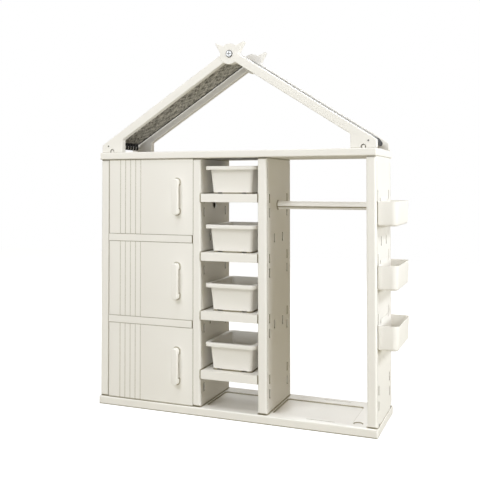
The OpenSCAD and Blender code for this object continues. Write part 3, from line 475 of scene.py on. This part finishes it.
# a bin as one skin: under its floor, down the foot rim, up the outside,
# over the turned-down rim and down the inside
def makeBin(name, look):
    low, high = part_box(name)
    halfX, halfY = ((high[axis] - low[axis]) / 2 / mm for axis in (0, 1))
    middle = [(high[axis] + low[axis]) / 2 / mm for axis in (0, 1)]
    base, height = low[2] / mm, (high[2] - low[2]) / mm
    wall, over, foot = look["wall"], look["overhang"], look["overhang"] + look["lean"]
    bevel, lift, rimEnd = look["bevel"], look["footHeight"], height - look["rimHeight"]
    toe, margin = foot + bevel / 2, look["floorMargin"]
    line = roundLine([
        (toe + wall + margin, lift, 0), (toe + wall, lift, look["footInnerRound"]),
        (toe + wall, 0, look["footInnerRound"]), (toe, 0, look["footRound"]),
        (foot, bevel, look["bevelRound"]),
        (over, height - wall, look["neckRound"]), (wall, height - wall, look["rimInnerRound"]),
        (wall, rimEnd, look["rimEndRound"]), (0, rimEnd, look["rimEndRound"]),
        (0, height, look["rimRound"]), (over + wall, height, look["mouthRound"]),
        (foot + wall, bevel + wall + lift, look["floorRound"]),
        (foot + wall + bevel * look["floorBevel"], wall + lift, look["floorRound"]),
        (foot + wall + bevel + margin, wall + lift, 0)])
    half, apart, shift = look["notchWidth"] / 2, look["notchSpacing"] / 2, look["notchEdge"]
    stations = sorted(side * apart + edge + moved
                      for side in (-1, 1) for edge in (-half, half) for moved in (-shift, shift))
    narrowing = look["rimCorner"] - look["bodyCorner"]
    rings = []
    for inset, z in line:
        corner = max(look["rimCorner"] - inset * narrowing / over, look["leastCorner"])
        rings.append(cornerRing(middle, halfX - inset, halfY - inset, [corner] * 4, base + z,
                                look["cornerSteps"], stations))
    notched = []
    for ring in rings:
        for x, y, z in ring:
            nearEnd = abs(y - middle[1]) > halfY - look["notchDepth"]
            inNotch = nearEnd and abs(abs(x - middle[0]) - apart) < half
            notched.append((x, y, max(z, base + lift) if inNotch else z))
    piece = makePiece(name + "_tub", notched, skinRings(rings)[1], creamPlastic)
    shadeSmooth(piece, look["smoothAngle"])
    standFor(piece, name + "_body", "cream_plastic", name)


for number in range(1, 5):
    makeBin(f"bin_{number}", binLook)
print("bins made")


basketLook = {
    "outerCorner": 27, "leastOuter": 8, "innerCorner": 4, "leastInner": 2.5, "innerNarrowing": 0.5,
    "cornerSteps": 9, "lineSteps": 6, "smoothAngle": 40, "wall": 2.5, "out": 79, "height": 93, "lean": 4,
    "bottomRound": 13, "rimRound": 1.3, "underMargin": 12, "floorMargin": 16,
    "backRise": 14, "backLength": 150, "backDrop": 16, "backEdge": 1.1,
    "hookWidth": 20, "hookRise": 43, "hookSpacing": 225, "stepWidth": 14, "stepInset": 0.4, "stepEdge": 0.9,
    "pegWidth": 11.4, "pegHeight": 14, "pegLow": {1: -24.7, 2: -9.7, 3: -9.7}, "pegReach": 7.1, "pegRoot": 1,
    "pegEdge": 0.8, "tipDrop": 8, "tipOverlap": 3, "tipThickness": 3, "edgeSteps": 2,
}


# box with round edges, added to a bmesh
def addBlock(mesh, low, high, radius, steps):
    made = bmesh.ops.create_cube(mesh, size=1)["verts"]
    size = Vector(high) - Vector(low)
    for vert in made:
        vert.co = Vector([low[axis] + (vert.co[axis] + 0.5) * size[axis] for axis in range(3)]) * mm
    edges = {edge for vert in made for edge in vert.link_edges}
    bmesh.ops.bevel(mesh, geom=list(edges), offset=radius * mm, segments=steps, profile=0.5, affect="EDGES")


# a hook-on basket: a rounded shell, the raised back, two hook plates with their pegs
def makeBasket(number, look):
    name = f"side_basket_{number}"
    low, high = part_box(name)
    face = high[0] / mm - look["out"]
    rim = high[2] / mm - look["hookRise"]
    middleY = (low[1] + high[1]) / 2 / mm
    halfX, halfY = look["out"] / 2, (high[1] - low[1]) / 2 / mm
    wall, depth, lean = look["wall"], look["height"], look["lean"]
    bottom, rimRound = look["bottomRound"], look["rimRound"]
    line = roundLine([
        (bottom + look["underMargin"], -depth, 0), (lean, -depth, bottom), (0, 0, rimRound),
        (wall, 0, rimRound), (wall + lean, wall - depth, bottom - wall),
        (bottom + look["floorMargin"], wall - depth, 0)], look["lineSteps"])
    rings = []
    for inset, z in line:
        outer = max(look["outerCorner"] - inset, look["leastOuter"])
        inner = max(look["innerCorner"] - inset * look["innerNarrowing"], look["leastInner"])
        upright = lean * min(-z / depth, 1) / 2  # the back leans on the panel, so it stays upright
        rings.append(cornerRing((face + halfX - upright, middleY), halfX - inset + upright, halfY - inset,
                                [outer, inner, inner, outer], rim + z, look["cornerSteps"]))
    # the shell takes the plastic with only faint painted crevice shade
    piece = makePiece(name + "_shell", *skinRings(rings), faintShadePlastic)
    half, hook, peg = look["backLength"] / 2, look["hookWidth"] / 2, look["pegWidth"] / 2
    root, plate, tip = rim - look["backDrop"], face + wall, face - look["pegReach"]
    pegLow = rim + look["pegLow"][number]
    backTop = rim + look["backRise"]
    blocks = [((face, middleY - half, root), (plate, middleY + half, backTop), look["backEdge"])]
    for side in (-1, 1):
        y = middleY + side * look["hookSpacing"] / 2
        before, behind = (look["stepWidth"] if inner else 0 for inner in (side > 0, side < 0))
        blocks += [
            ((face, y - hook, root), (plate, y + hook, rim + look["hookRise"]), look["backEdge"]),
            ((face, y - hook - before, root),
             (plate - look["stepInset"], y + hook + behind, rim + look["backRise"] / 2), look["stepEdge"]),
            ((tip, y - peg, pegLow), (face + look["pegRoot"], y + peg, pegLow + look["pegHeight"]),
             look["pegEdge"]),
            ((tip, y - peg, pegLow - look["tipDrop"]),
             (tip + look["tipThickness"], y + peg, pegLow + look["tipOverlap"]), look["pegEdge"])]
    mesh = bmesh.new()
    mesh.from_mesh(piece.data)
    for low, high, radius in blocks:
        addBlock(mesh, low, high, radius, look["edgeSteps"])
    mesh.to_mesh(piece.data)
    mesh.free()
    shadeSmooth(piece, look["smoothAngle"])
    standFor(piece, name + "_body", "cream_plastic", name)


for number in range(1, 4):
    makeBasket(number, basketLook)
print("side baskets made")


roofClothLook = {
    "slope": 32.7, "thickness": 1, "ridgePlay": 0.2, "eaveMargin": 0.8, "smoothAngle": 60,
    "slopeSteps": 60, "ridgeSteps": 12, "acrossSteps": 48,
    "sag": 3, "ripple": 0.5, "rippleLength": 47, "rippleLean": 4, "rippleShift": 1.1,
    "tuck": 0.8, "tuckFrom": 0.9, "tuckRise": 10,
    "hemWidth": 12, "eaveHemWidth": 2, "hemThickness": 2.4, "hemInset": 1, "hemTaper": 0.6, "hemEdge": 0.4,
    "foldIn": 0.7, "foldOut": 0.2, "foldEdge": 0.5,
    "loopWidth": 17, "loopCount": 9, "loopPlay": 0.3, "loopSteps": 24, "loopTaper": 0.5, "loopEdge": 0.4,
    "webbing": 1.2, "tail": 5,
}


# the cloth's middle line over the ridge bar, from the left eave to the right one:
# (x, z), the direction square to it, and its share of the way from the ridge down to the eave
def clothLine(look):
    barLow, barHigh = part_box("ridge_bar")
    middleZ = (barLow[2] + barHigh[2]) / 2 / mm
    radius = (barHigh[2] - barLow[2]) / 2 / mm + look["ridgePlay"] + look["hemThickness"] / 2
    slope = math.radians(look["slope"])
    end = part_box("roof_cloth")[1][0] / mm - look["eaveMargin"]
    reach = (end - radius * math.sin(slope)) / math.cos(slope)
    right = []
    for step in range(look["ridgeSteps"] // 2):
        turn = slope * step / (look["ridgeSteps"] // 2)
        right.append(((radius * math.sin(turn), middleZ + radius * math.cos(turn)),
                      (math.sin(turn), math.cos(turn)), 0))
    for step in range(look["slopeSteps"] + 1):
        share = step / look["slopeSteps"]
        along = reach * share
        right.append(((radius * math.sin(slope) + along * math.cos(slope),
                       middleZ + radius * math.cos(slope) - along * math.sin(slope)),
                      (math.sin(slope), math.cos(slope)), share))
    left = [((-x, z), (-nx, nz), share) for (x, z), (nx, nz), share in reversed(right[1:])]
    return left + right, 2 * (reach + radius * slope)


# one cloth over both slopes, a little slack between its bars and gathered at the loops
def clothPoint(spot, across, span, look):
    (x, z), (nx, nz), share = spot
    y = span[0] + (span[1] - span[0]) * across
    slack = 0.5 + 0.5 * math.sin(math.pi * across)
    lift = -look["sag"] * math.sin(math.pi * share) * slack
    shift = look["rippleShift"] if x > 0 else 0
    wave = math.sin(2 * math.pi * y / look["rippleLength"] + look["rippleLean"] * share + shift)
    lift += look["ripple"] * wave * share * math.sin(math.pi * across)
    side = 1 if x > 0 else -1
    gather = 0.5 - 0.5 * math.cos(2 * math.pi * across * look["loopCount"])
    pull = look["tuck"] * gather * max(share - look["tuckFrom"], 0) * look["tuckRise"]
    return (x + nx * lift - side * abs(nz) * pull, y, z + nz * lift + abs(nx) * pull)


# closed section of a strap from its upper half
def mirrorSection(upper):
    return upper + [(a, -b) for a, b in reversed(upper)]


# binding folded round an edge: a closed section carried along the edge
def hemRings(edge, inward, square, width, look):
    half = look["hemThickness"] / 2
    section = mirrorSection([(width, look["hemEdge"] * half), (width - look["hemTaper"], half),
                             (look["foldIn"], half), (-look["foldOut"], look["foldEdge"] * half)])
    return [[tuple(Vector(point) + Vector(inward[k]) * a + Vector(square[k]) * b) for a, b in section]
            for k, point in enumerate(edge)]


# several skins in one piece
def joinSkins(name, skins, material):
    points, faces = [], []
    for skinPoints, skinFaces in skins:
        faces += [tuple(index + len(points) for index in face) for face in skinFaces]
        points += skinPoints
    return makePiece(name, points, faces, material)


# the cloth as a thin sheet, and its binding along all four edges
def makeRoofCloth(look):
    low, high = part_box("roof_cloth")
    span = (low[1] / mm + look["hemInset"], high[1] / mm - look["hemInset"])
    line, length = clothLine(look)
    across = look["acrossSteps"]
    points = [clothPoint(spot, k / across, span, look) for spot in line for k in range(across + 1)]
    faces = []
    for i in range(len(line) - 1):
        for k in range(across):
            first = i * (across + 1) + k
            faces.append((first, first + across + 1, first + across + 2, first + 1))
    piece = makePiece("roof_cloth_sheet", points, faces, roofClothFabric)
    shadeSmooth(piece, look["smoothAngle"])
    body = piece.modifiers.new("clothThickness", "SOLIDIFY")
    body.thickness = look["thickness"] * mm
    body.offset = 0
    standFor(piece, "closet", "roof_cloth", "roof_cloth")

    squares = [(nx, 0, nz) for (x, z), (nx, nz), share in line]
    skins = []
    for k, side in ((0, 1), (across, -1)):
        edge = [points[i * (across + 1) + k] for i in range(len(line))]
        skins.append(skinRings(hemRings(edge, [(0, side, 0)] * len(edge), squares, look["hemWidth"], look)))
    for i, side in ((0, 1), (len(line) - 1, -1)):
        edge = [points[i * (across + 1) + k] for k in range(across + 1)]
        nx, nz = line[i][1]
        inward, square = [(side * nz, 0, abs(nx))] * len(edge), [squares[i]] * len(edge)
        skins.append(skinRings(hemRings(edge, inward, square, look["eaveHemWidth"], look)))
    hem = joinSkins("roof_cloth_hem", skins, blackWebbing)
    shadeSmooth(hem, look["smoothAngle"])
    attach(hem, "closet")
    return piece, hem, line[-1], span, length


# flat webbing from the cloth's upper face round the eave bar and back to its under face
def loopPath(end, square, bar, look):
    centre, radius = bar
    radius += look["loopPlay"] + look["webbing"] / 2
    gap = (look["hemThickness"] + look["webbing"]) / 2
    upslope = Vector((-square[1], square[0]))
    outer, inner = end + square * gap, end - square * gap
    path = [outer + upslope * look["tail"], outer + upslope * look["tail"] * 0.5, outer]
    away = outer - centre
    start = math.atan2(away.y, away.x) - math.acos(radius / away.length)
    away = inner - centre
    stop = math.atan2(away.y, away.x) + math.acos(radius / away.length) - 2 * math.pi
    for step in range(look["loopSteps"] + 1):
        turn = start + (stop - start) * step / look["loopSteps"]
        path.append(centre + Vector((math.cos(turn), math.sin(turn))) * radius)
    return path + [inner, inner + upslope * look["tail"] * 0.5, inner + upslope * look["tail"]]


# a row of webbing loops on one eave bar, drawn on the right side and mirrored for the left one
def makeEaveLoops(side, sideSign, clothEnd, look):
    low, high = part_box(side + "_cloth_loops")
    barLow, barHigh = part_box(side + "_eave_bar")
    centre = Vector((abs(barLow[0] + barHigh[0]) / 2 / mm, (barLow[2] + barHigh[2]) / 2 / mm))
    end, square = (Vector(value) for value in clothEnd[:2])
    path = loopPath(end, square, (centre, (barHigh[2] - barLow[2]) / 2 / mm), look)
    half, thick = look["loopWidth"] / 2, look["webbing"] / 2
    taper, edge = look["loopTaper"], thick * look["loopEdge"]
    section = mirrorSection([(half, edge), (half - taper, thick), (-half + taper, thick), (-half, edge)])
    skins = []
    pitch = ((high[1] - low[1]) / mm - look["loopWidth"]) / (look["loopCount"] - 1)
    for number in range(look["loopCount"]):
        y = low[1] / mm + half + number * pitch
        rings = []
        for k, point in enumerate(path):
            ahead = (path[min(k + 1, len(path) - 1)] - path[max(k - 1, 0)]).normalized()
            out = Vector((-ahead.y, ahead.x))
            rings.append([(sideSign * (point.x + out.x * b), y + a, point.y + out.y * b) for a, b in section])
        skins.append(skinRings(rings))
    piece = joinSkins(side + "_eave_loops", skins, blackWebbing)
    shadeSmooth(piece, look["smoothAngle"])
    standFor(piece, "closet", "black_webbing", side + "_cloth_loops")
    return piece


clothSheet, clothHem, clothEnd, clothSpan, clothLength = makeRoofCloth(roofClothLook)
eaveLoops = [makeEaveLoops(side, sign, clothEnd, roofClothLook)
             for side, sign in (("left", -1), ("right", 1))]
print("roof cloth, hem and loops made")


boltLook = {
    "shankRadius": 5, "shankLength": 46, "bandInner": 11.4, "bandStep": 0.9, "edgeRound": 0.9,
    "crossReach": 7.8, "crossHalfWidth": 1.5, "crossDepth": 1.8, "turns": 72, "smoothAngle": 35,
}


# both bolts: a pale middle with a cross recess, a darker band a step lower round it, and the shank; the cross
# recess is painted dark as painted shade, while the band, the head's side and the shank take the same darker
# steel
def makeBolts(look):
    low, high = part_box("apex_bolts")
    radius, centreZ = (high[0] - low[0]) / 2 / mm, (high[2] + low[2]) / 2 / mm
    thickness = (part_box("front_right_rafter")[0][1] - low[1]) / mm
    turns = [2 * math.pi * k / look["turns"] for k in range(look["turns"])]
    reach, half = look["crossReach"], look["crossHalfWidth"]
    quarter = [(reach, half), (half, half), (half, reach)]
    cross = []
    for signX, signZ, order in ((1, 1, 1), (-1, 1, -1), (-1, -1, 1), (1, -1, -1)):
        cross += [(signX * x, signZ * z) for x, z in quarter[::order]]
    rim = [(look["bandInner"] * math.cos(turn), look["bandInner"] * math.sin(turn)) for turn in turns]
    flat = rim + cross
    rimLine, crossLine = ([Vector((x, z, 0)) for x, z in line] for line in (rim, cross))
    fills = tessellate_polygon([rimLine, crossLine[::-1]])
    floors = tessellate_polygon([crossLine])
    order = list(range(len(rim))) + list(reversed(range(len(rim), len(flat))))
    step, edge = look["bandStep"], look["edgeRound"]
    levels = [(look["bandInner"], step), (radius - edge, step), (radius, step + edge), (radius, thickness),
              (look["shankRadius"], thickness), (look["shankRadius"], thickness + look["shankLength"])]
    skins, dark = [], []
    for front, sign in ((low[1] / mm, 1), (high[1] / mm, -1)):
        points = [(x, front, centreZ + z) for x, z in flat]
        deep = len(points)
        points += [(x, front + sign * look["crossDepth"], centreZ + z) for x, z in cross]
        faces = [tuple(order[index] for index in fill) for fill in fills]
        faces += [tuple(index + deep for index in fill) for fill in floors]
        for k in range(len(cross)):
            following = (k + 1) % len(cross)
            faces.append((len(rim) + k, len(rim) + following, deep + following, deep + k))
        before = list(range(len(rim)))
        for distance, depth in levels:
            start = len(points)
            points += [(distance * math.cos(turn), front + sign * depth, centreZ + distance * math.sin(turn))
                       for turn in turns]
            now = list(range(start, start + len(turns)))
            faces += [(before[k], before[k - 1], now[k - 1], now[k]) for k in range(len(turns))]
            before = now
        faces.append(tuple(before))
        # the faces past the pale fills take the darker steel: painted shade in the cross recess, the steel's
        # tone on the band and shank
        dark += [index >= len(fills) for index in range(len(faces))]
        skins.append((points, faces))
    piece = joinSkins("apex_bolt_heads", skins, boltChrome)
    piece.data.materials.append(darkSteelAndRecessShade)
    for face, darkToneOrRecessShade in zip(piece.data.polygons, dark):
        face.material_index = 1 if darkToneOrRecessShade else 0
    shadeSmooth(piece, look["smoothAngle"])
    standFor(piece, "closet", "bolt_chrome", "apex_bolts")


makeBolts(boltLook)
print("apex bolts made")


doorLook = {
    "cadGap": 3, "gap": 0.8, "footGap": 1, "hingeCorner": 6, "hingeGap": 1, "edgeRound": 0.8, "backRound": 1,
    "softEnd": 0.8, "backStep": 0.2, "seam": 1, "smoothAngle": 35,
    "lip": ((4.6, 0), (4.6, 1), (3.3, 2), (1.9, 3.6), (0.7, 6)),
    "firstGroove": 57.5, "groovePitch": 24.6, "grooveCount": 5, "grooveWidth": 2.4, "grooveDepth": 1.0,
    "grooveFloor": 0.7, "grooveEdgeRound": 0.4, "grooveFloorRound": 0.3,
}


# a door as one board: its level section with upright grooves, drawn in a little at both ends
def makeDoor(name, look):
    low, high = ([value / mm for value in corner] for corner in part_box(name))
    cadGap = look["cadGap"]
    more = cadGap - look["gap"]
    left, right = low[0] - cadGap + look["hingeGap"], high[0] + more
    front, back = low[1], high[1] - look["backStep"]
    middle = ((left + right) / 2, (front + back) / 2)
    section = [(middle[0], back, 0), (left, back, look["hingeCorner"]), (left, front, look["hingeCorner"])]
    half, deep = look["grooveWidth"] / 2, front + look["grooveDepth"]
    edgeRound, floorRound = look["grooveEdgeRound"], look["grooveFloorRound"]
    for number in range(look["grooveCount"]):
        x = low[0] - cadGap + look["firstGroove"] + number * look["groovePitch"]
        section += [(x - half, front, edgeRound), (x - half * look["grooveFloor"], deep, floorRound),
                    (x + half * look["grooveFloor"], deep, floorRound), (x + half, front, edgeRound)]
    section += [(right + reach, front + depth, look["edgeRound"] if depth == 0 else 0)
                for reach, depth in look["lip"]]
    section += [(right, back, look["backRound"]), (middle[0] + look["seam"], back, 0)]
    outline = roundLine(section)
    soft, foot, top = look["softEnd"], low[2] - more + look["footGap"], high[2] + more
    shrink = [1 - soft / (right - middle[0]), 1 - soft / (back - middle[1])]
    rings = []
    for z, drawn in ((foot, True), (foot + soft, False), (top - soft, False), (top, True)):
        rings.append([(middle[0] + (x - middle[0]) * (shrink[0] if drawn else 1),
                       middle[1] + (y - middle[1]) * (shrink[1] if drawn else 1), z) for x, y in outline])
    piece = makePiece(name + "_board", *skinRings(rings), creamPlastic)
    shadeSmooth(piece, look["smoothAngle"])
    standFor(piece, name + "_body", "cream_plastic", name)


for level in ("lower", "middle", "upper"):
    makeDoor(f"{level}_door", doorLook)
print("doors made")


railLook = {
    "grooveDrop": 6.8, "grooveWidth": 5.6, "grooveDepth": 4.5, "grooveFloor": 0.8, "turns": 48, "endRound": 1,
    "smoothAngle": 35,
}


# clothes rail: a round bar with a groove along its front
def makeRail(look):
    low, high = ([value / mm for value in corner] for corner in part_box("clothes_rail"))
    radius = (high[2] - low[2]) / 2
    middle = ((low[1] + high[1]) / 2, (low[2] + high[2]) / 2)
    half = look["grooveWidth"] / 2
    upper, lower = (math.pi + math.asin((look["grooveDrop"] + side * half) / radius) for side in (-1, 1))
    section = []
    for step in range(look["turns"] + 1):
        turn = lower + (2 * math.pi + upper - lower) * step / look["turns"]
        section.append((radius * math.cos(turn), radius * math.sin(turn)))
    deep = -math.sqrt(radius ** 2 - look["grooveDrop"] ** 2) + look["grooveDepth"]
    section += [(deep, side * half * look["grooveFloor"] - look["grooveDrop"]) for side in (1, -1)]
    soft = look["endRound"]
    ends = [(low[0], True), (low[0] + soft, False), (high[0] - soft, False), (high[0], True)]
    rings = [[(x, middle[0] + y * (1 - drawn * soft / radius), middle[1] + z * (1 - drawn * soft / radius))
              for y, z in section] for x, drawn in ends]
    piece = makePiece("clothes_rail_bar", *skinRings(rings), creamPlastic)
    shadeSmooth(piece, look["smoothAngle"])
    standFor(piece, "closet", "cream_plastic", "clothes_rail")


makeRail(railLook)
print("clothes rail made")


handleLook = {
    "width": 28, "foot": 24, "bar": 14, "edgeRound": 4.5, "edgeSteps": 6, "corner": 13, "leastCorner": 2,
    "aroundSteps": 10, "archRound": 14, "archSteps": 6, "archMargin": 2, "blockSmoothAngle": 50,
    "cutRound": 1.2, "cutSteps": 2, "cutAngle": 50, "smoothAngle": 45,
}


# takes one mesh out of another and keeps the result as a plain mesh
def cutOut(piece, cutter):
    cut = piece.modifiers.new("cut", "BOOLEAN")
    cut.operation = "DIFFERENCE"
    cut.solver = "EXACT"
    cut.object = cutter
    done = bpy.data.meshes.new_from_object(piece.evaluated_get(bpy.context.evaluated_depsgraph_get()))
    piece.modifiers.clear()
    piece.data = done
    bpy.data.objects.remove(cutter)


# a bar handle: a long rounded block drawn in at its front edges,
# with room for the fingers behind the bar
def makeHandle(name, body, look):
    low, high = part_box(name)
    centre = (high[0] / mm - look["width"] / 2, (low[2] + high[2]) / 2 / mm)
    door, height, length = high[1] / mm, (high[1] - low[1]) / mm, (high[2] - low[2]) / mm
    soft = look["edgeRound"]
    steps = [(0, 0), (0, height - soft)]
    for k in range(1, look["edgeSteps"] + 1):
        turn = math.radians(90 * k / look["edgeSteps"])
        steps.append((soft * (1 - math.cos(turn)), height - soft + soft * math.sin(turn)))
    rings = []
    for inset, rise in steps:
        ring = cornerRing(centre, look["width"] / 2 - inset, length / 2 - inset,
                          [max(look["corner"] - inset, look["leastCorner"])] * 4, 0, look["aroundSteps"])
        rings.append([(x, door - rise, z) for x, z, flat in ring])
    piece = makePiece(name + "_bar", *skinRings(rings), creamPlastic)
    shadeSmooth(piece, look["blockSmoothAngle"])
    gap, inner = length / 2 - look["foot"], height - look["bar"]
    bend, below = look["archRound"], -look["archMargin"]
    arch = roundLine([(gap, below, 0), (gap, inner, bend), (-gap, inner, bend), (-gap, below, 0)],
                     look["archSteps"])
    sides = [[(centre[0] + side * look["width"], door - rise, centre[1] + place) for place, rise in arch]
             for side in (-1, 1)]
    cutter = makePiece("fingerGap", *skinRings(sides), creamPlastic)
    shadeSmooth(cutter, look["blockSmoothAngle"])
    cutOut(piece, cutter)
    edges = piece.modifiers.new("softEdges", "BEVEL")
    edges.width = look["cutRound"] * mm
    edges.segments = look["cutSteps"]
    edges.limit_method = "ANGLE"
    edges.angle_limit = math.radians(look["cutAngle"])
    shadeSmooth(piece, look["smoothAngle"])
    standFor(piece, body, "cream_plastic", name)


for level in ("lower", "middle", "upper"):
    makeHandle(f"{level}_door_handle", f"{level}_door_body", handleLook)
print("handles made")


cameraLook = {
    "place": (1117.5, -2846.4, 937.3), "turnLeft": 21.645, "tiltUp": 1.309, "lens": 54.154,
    "sensor": 36, "shiftY": -0.1485,
}


# the camera that was fitted to the photo: its place in millimetres, its turns in degrees
def placeCamera(look):
    data = bpy.data.cameras.new("frontCamera")
    data.sensor_width = look["sensor"]
    data.lens = look["lens"]
    data.shift_y = look["shiftY"]
    camera = bpy.data.objects.new("frontCamera", data)
    camera.location = [value * mm for value in look["place"]]
    camera.rotation_euler = (math.radians(90 + look["tiltUp"]), 0, math.radians(look["turnLeft"]))
    bpy.context.scene.collection.objects.link(camera)
    bpy.context.scene.camera = camera


lampLooks = {
    "frontLamp": {"from": (-1.9, -4.6, 4.2), "to": (-0.1, 0, 0.6), "size": 2.6, "power": 142},
    "rightLamp": {"from": (4.6, -0.1, 1.3), "to": (0.6, 0, 0.8), "size": 1.2, "power": 88},
    "highRightLamp": {"from": (4.2, -0.4, 3.4), "to": (0.6, 0, 0.8), "size": 1.2, "power": 108},
    "topLamp": {"from": (-0.1, -1.8, 5.0), "to": (0, 0, 1.0), "size": 2.2, "power": 50},
    "lowLamp": {"from": (0.6, -6.0, 0.9), "to": (0, 0, 0.5), "size": 2.5, "power": 128},
    "backLamp": {"from": (-0.4, 3.2, 2.9), "to": (0, 0, 0.5), "size": 1.8, "power": 62},
}
lampColour = (0.885, 0.93, 1.0)


# a round lamp that points from one place to another, both in metres
def placeLamp(name, look):
    data = bpy.data.lights.new(name, "AREA")
    data.shape = "DISK"
    data.size = look["size"]
    data.energy = look["power"]
    data.color = lampColour
    lamp = bpy.data.objects.new(name, data)
    lamp.location = look["from"]
    aim = Vector(look["to"]) - Vector(look["from"])
    lamp.rotation_euler = aim.to_track_quat("-Z", "Y").to_euler()
    bpy.context.scene.collection.objects.link(lamp)


worldLook = {"colour": (1.0, 0.70, 0.22), "strength": 0.15}


# soft room light; the camera, glossy and clear rays see a white backdrop
def roomLight(look):
    world = bpy.data.worlds.new("paleRoom")
    bpy.context.scene.world = world
    world.use_nodes = True
    tree = world.node_tree
    light = tree.nodes["Background"]
    light.inputs["Color"].default_value = (*look["colour"], 1)
    light.inputs["Strength"].default_value = look["strength"]
    white = tree.nodes.new("ShaderNodeBackground")
    white.inputs["Color"].default_value = (1, 1, 1, 1)
    paths = tree.nodes.new("ShaderNodeLightPath")
    seen = tree.nodes.new("ShaderNodeMath")
    seen.operation = "MAXIMUM"
    clear = tree.nodes.new("ShaderNodeMath")
    clear.operation = "MAXIMUM"
    mix = tree.nodes.new("ShaderNodeMixShader")
    tree.links.new(paths.outputs["Is Camera Ray"], seen.inputs[0])
    tree.links.new(paths.outputs["Is Glossy Ray"], seen.inputs[1])
    tree.links.new(seen.outputs["Value"], clear.inputs[0])
    tree.links.new(paths.outputs["Is Transmission Ray"], clear.inputs[1])
    tree.links.new(clear.outputs["Value"], mix.inputs["Fac"])
    tree.links.new(light.outputs["Background"], mix.inputs[1])
    tree.links.new(white.outputs["Background"], mix.inputs[2])
    tree.links.new(mix.outputs["Shader"], tree.nodes["World Output"].inputs["Surface"])


floorLook = {
    "size": 12, "shadowShare": 0.3, "cloudScale": 3, "cloudLow": 0.98, "glow": 0.96,
    "bounce": (0.44, 0.41, 0.31),
}


# pale floor: for the camera mostly a glow that still takes the soft shadow
def placeFloor(look):
    mesh = bpy.data.meshes.new("paleFloor")
    half = look["size"] / 2
    corners = [(-half, -half, 0), (half, -half, 0), (half, half, 0), (-half, half, 0)]
    mesh.from_pydata(corners, [], [(0, 1, 2, 3)])
    floor = bpy.data.objects.new("paleFloor", mesh)
    bpy.context.scene.collection.objects.link(floor)
    material = bpy.data.materials.new("paleFloor")
    material.use_nodes = True
    tree = material.node_tree
    tree.nodes.remove(tree.nodes["Principled BSDF"])
    coords = tree.nodes.new("ShaderNodeTexCoord")
    cloud = tree.nodes.new("ShaderNodeTexNoise")
    cloud.inputs["Scale"].default_value = look["cloudScale"]
    tree.links.new(coords.outputs["Object"], cloud.inputs["Vector"])
    tone = tree.nodes.new("ShaderNodeMapRange")
    tone.inputs["To Min"].default_value = look["shadowShare"] * look["cloudLow"]
    tone.inputs["To Max"].default_value = look["shadowShare"]
    tree.links.new(cloud.outputs["Fac"], tone.inputs["Value"])
    shadow = tree.nodes.new("ShaderNodeBsdfDiffuse")
    tree.links.new(tone.outputs["Result"], shadow.inputs["Color"])
    glow = tree.nodes.new("ShaderNodeEmission")
    glow.inputs["Strength"].default_value = look["glow"]
    seen = tree.nodes.new("ShaderNodeAddShader")
    tree.links.new(shadow.outputs["BSDF"], seen.inputs[0])
    tree.links.new(glow.outputs["Emission"], seen.inputs[1])
    bounce = tree.nodes.new("ShaderNodeBsdfDiffuse")
    bounce.inputs["Color"].default_value = (*look["bounce"], 1)
    paths = tree.nodes.new("ShaderNodeLightPath")
    mix = tree.nodes.new("ShaderNodeMixShader")
    tree.links.new(paths.outputs["Is Camera Ray"], mix.inputs["Fac"])
    tree.links.new(bounce.outputs["BSDF"], mix.inputs[1])
    tree.links.new(seen.outputs["Shader"], mix.inputs[2])
    tree.links.new(mix.outputs["Shader"], tree.nodes["Material Output"].inputs["Surface"])
    floor.data.materials.append(material)


placeCamera(cameraLook)
for name, look in lampLooks.items():
    placeLamp(name, look)
roomLight(worldLook)
placeFloor(floorLook)
bpy.context.scene.view_settings.view_transform = "Standard"
print("camera, lamps and floor placed")

bpy.context.view_layer.update()
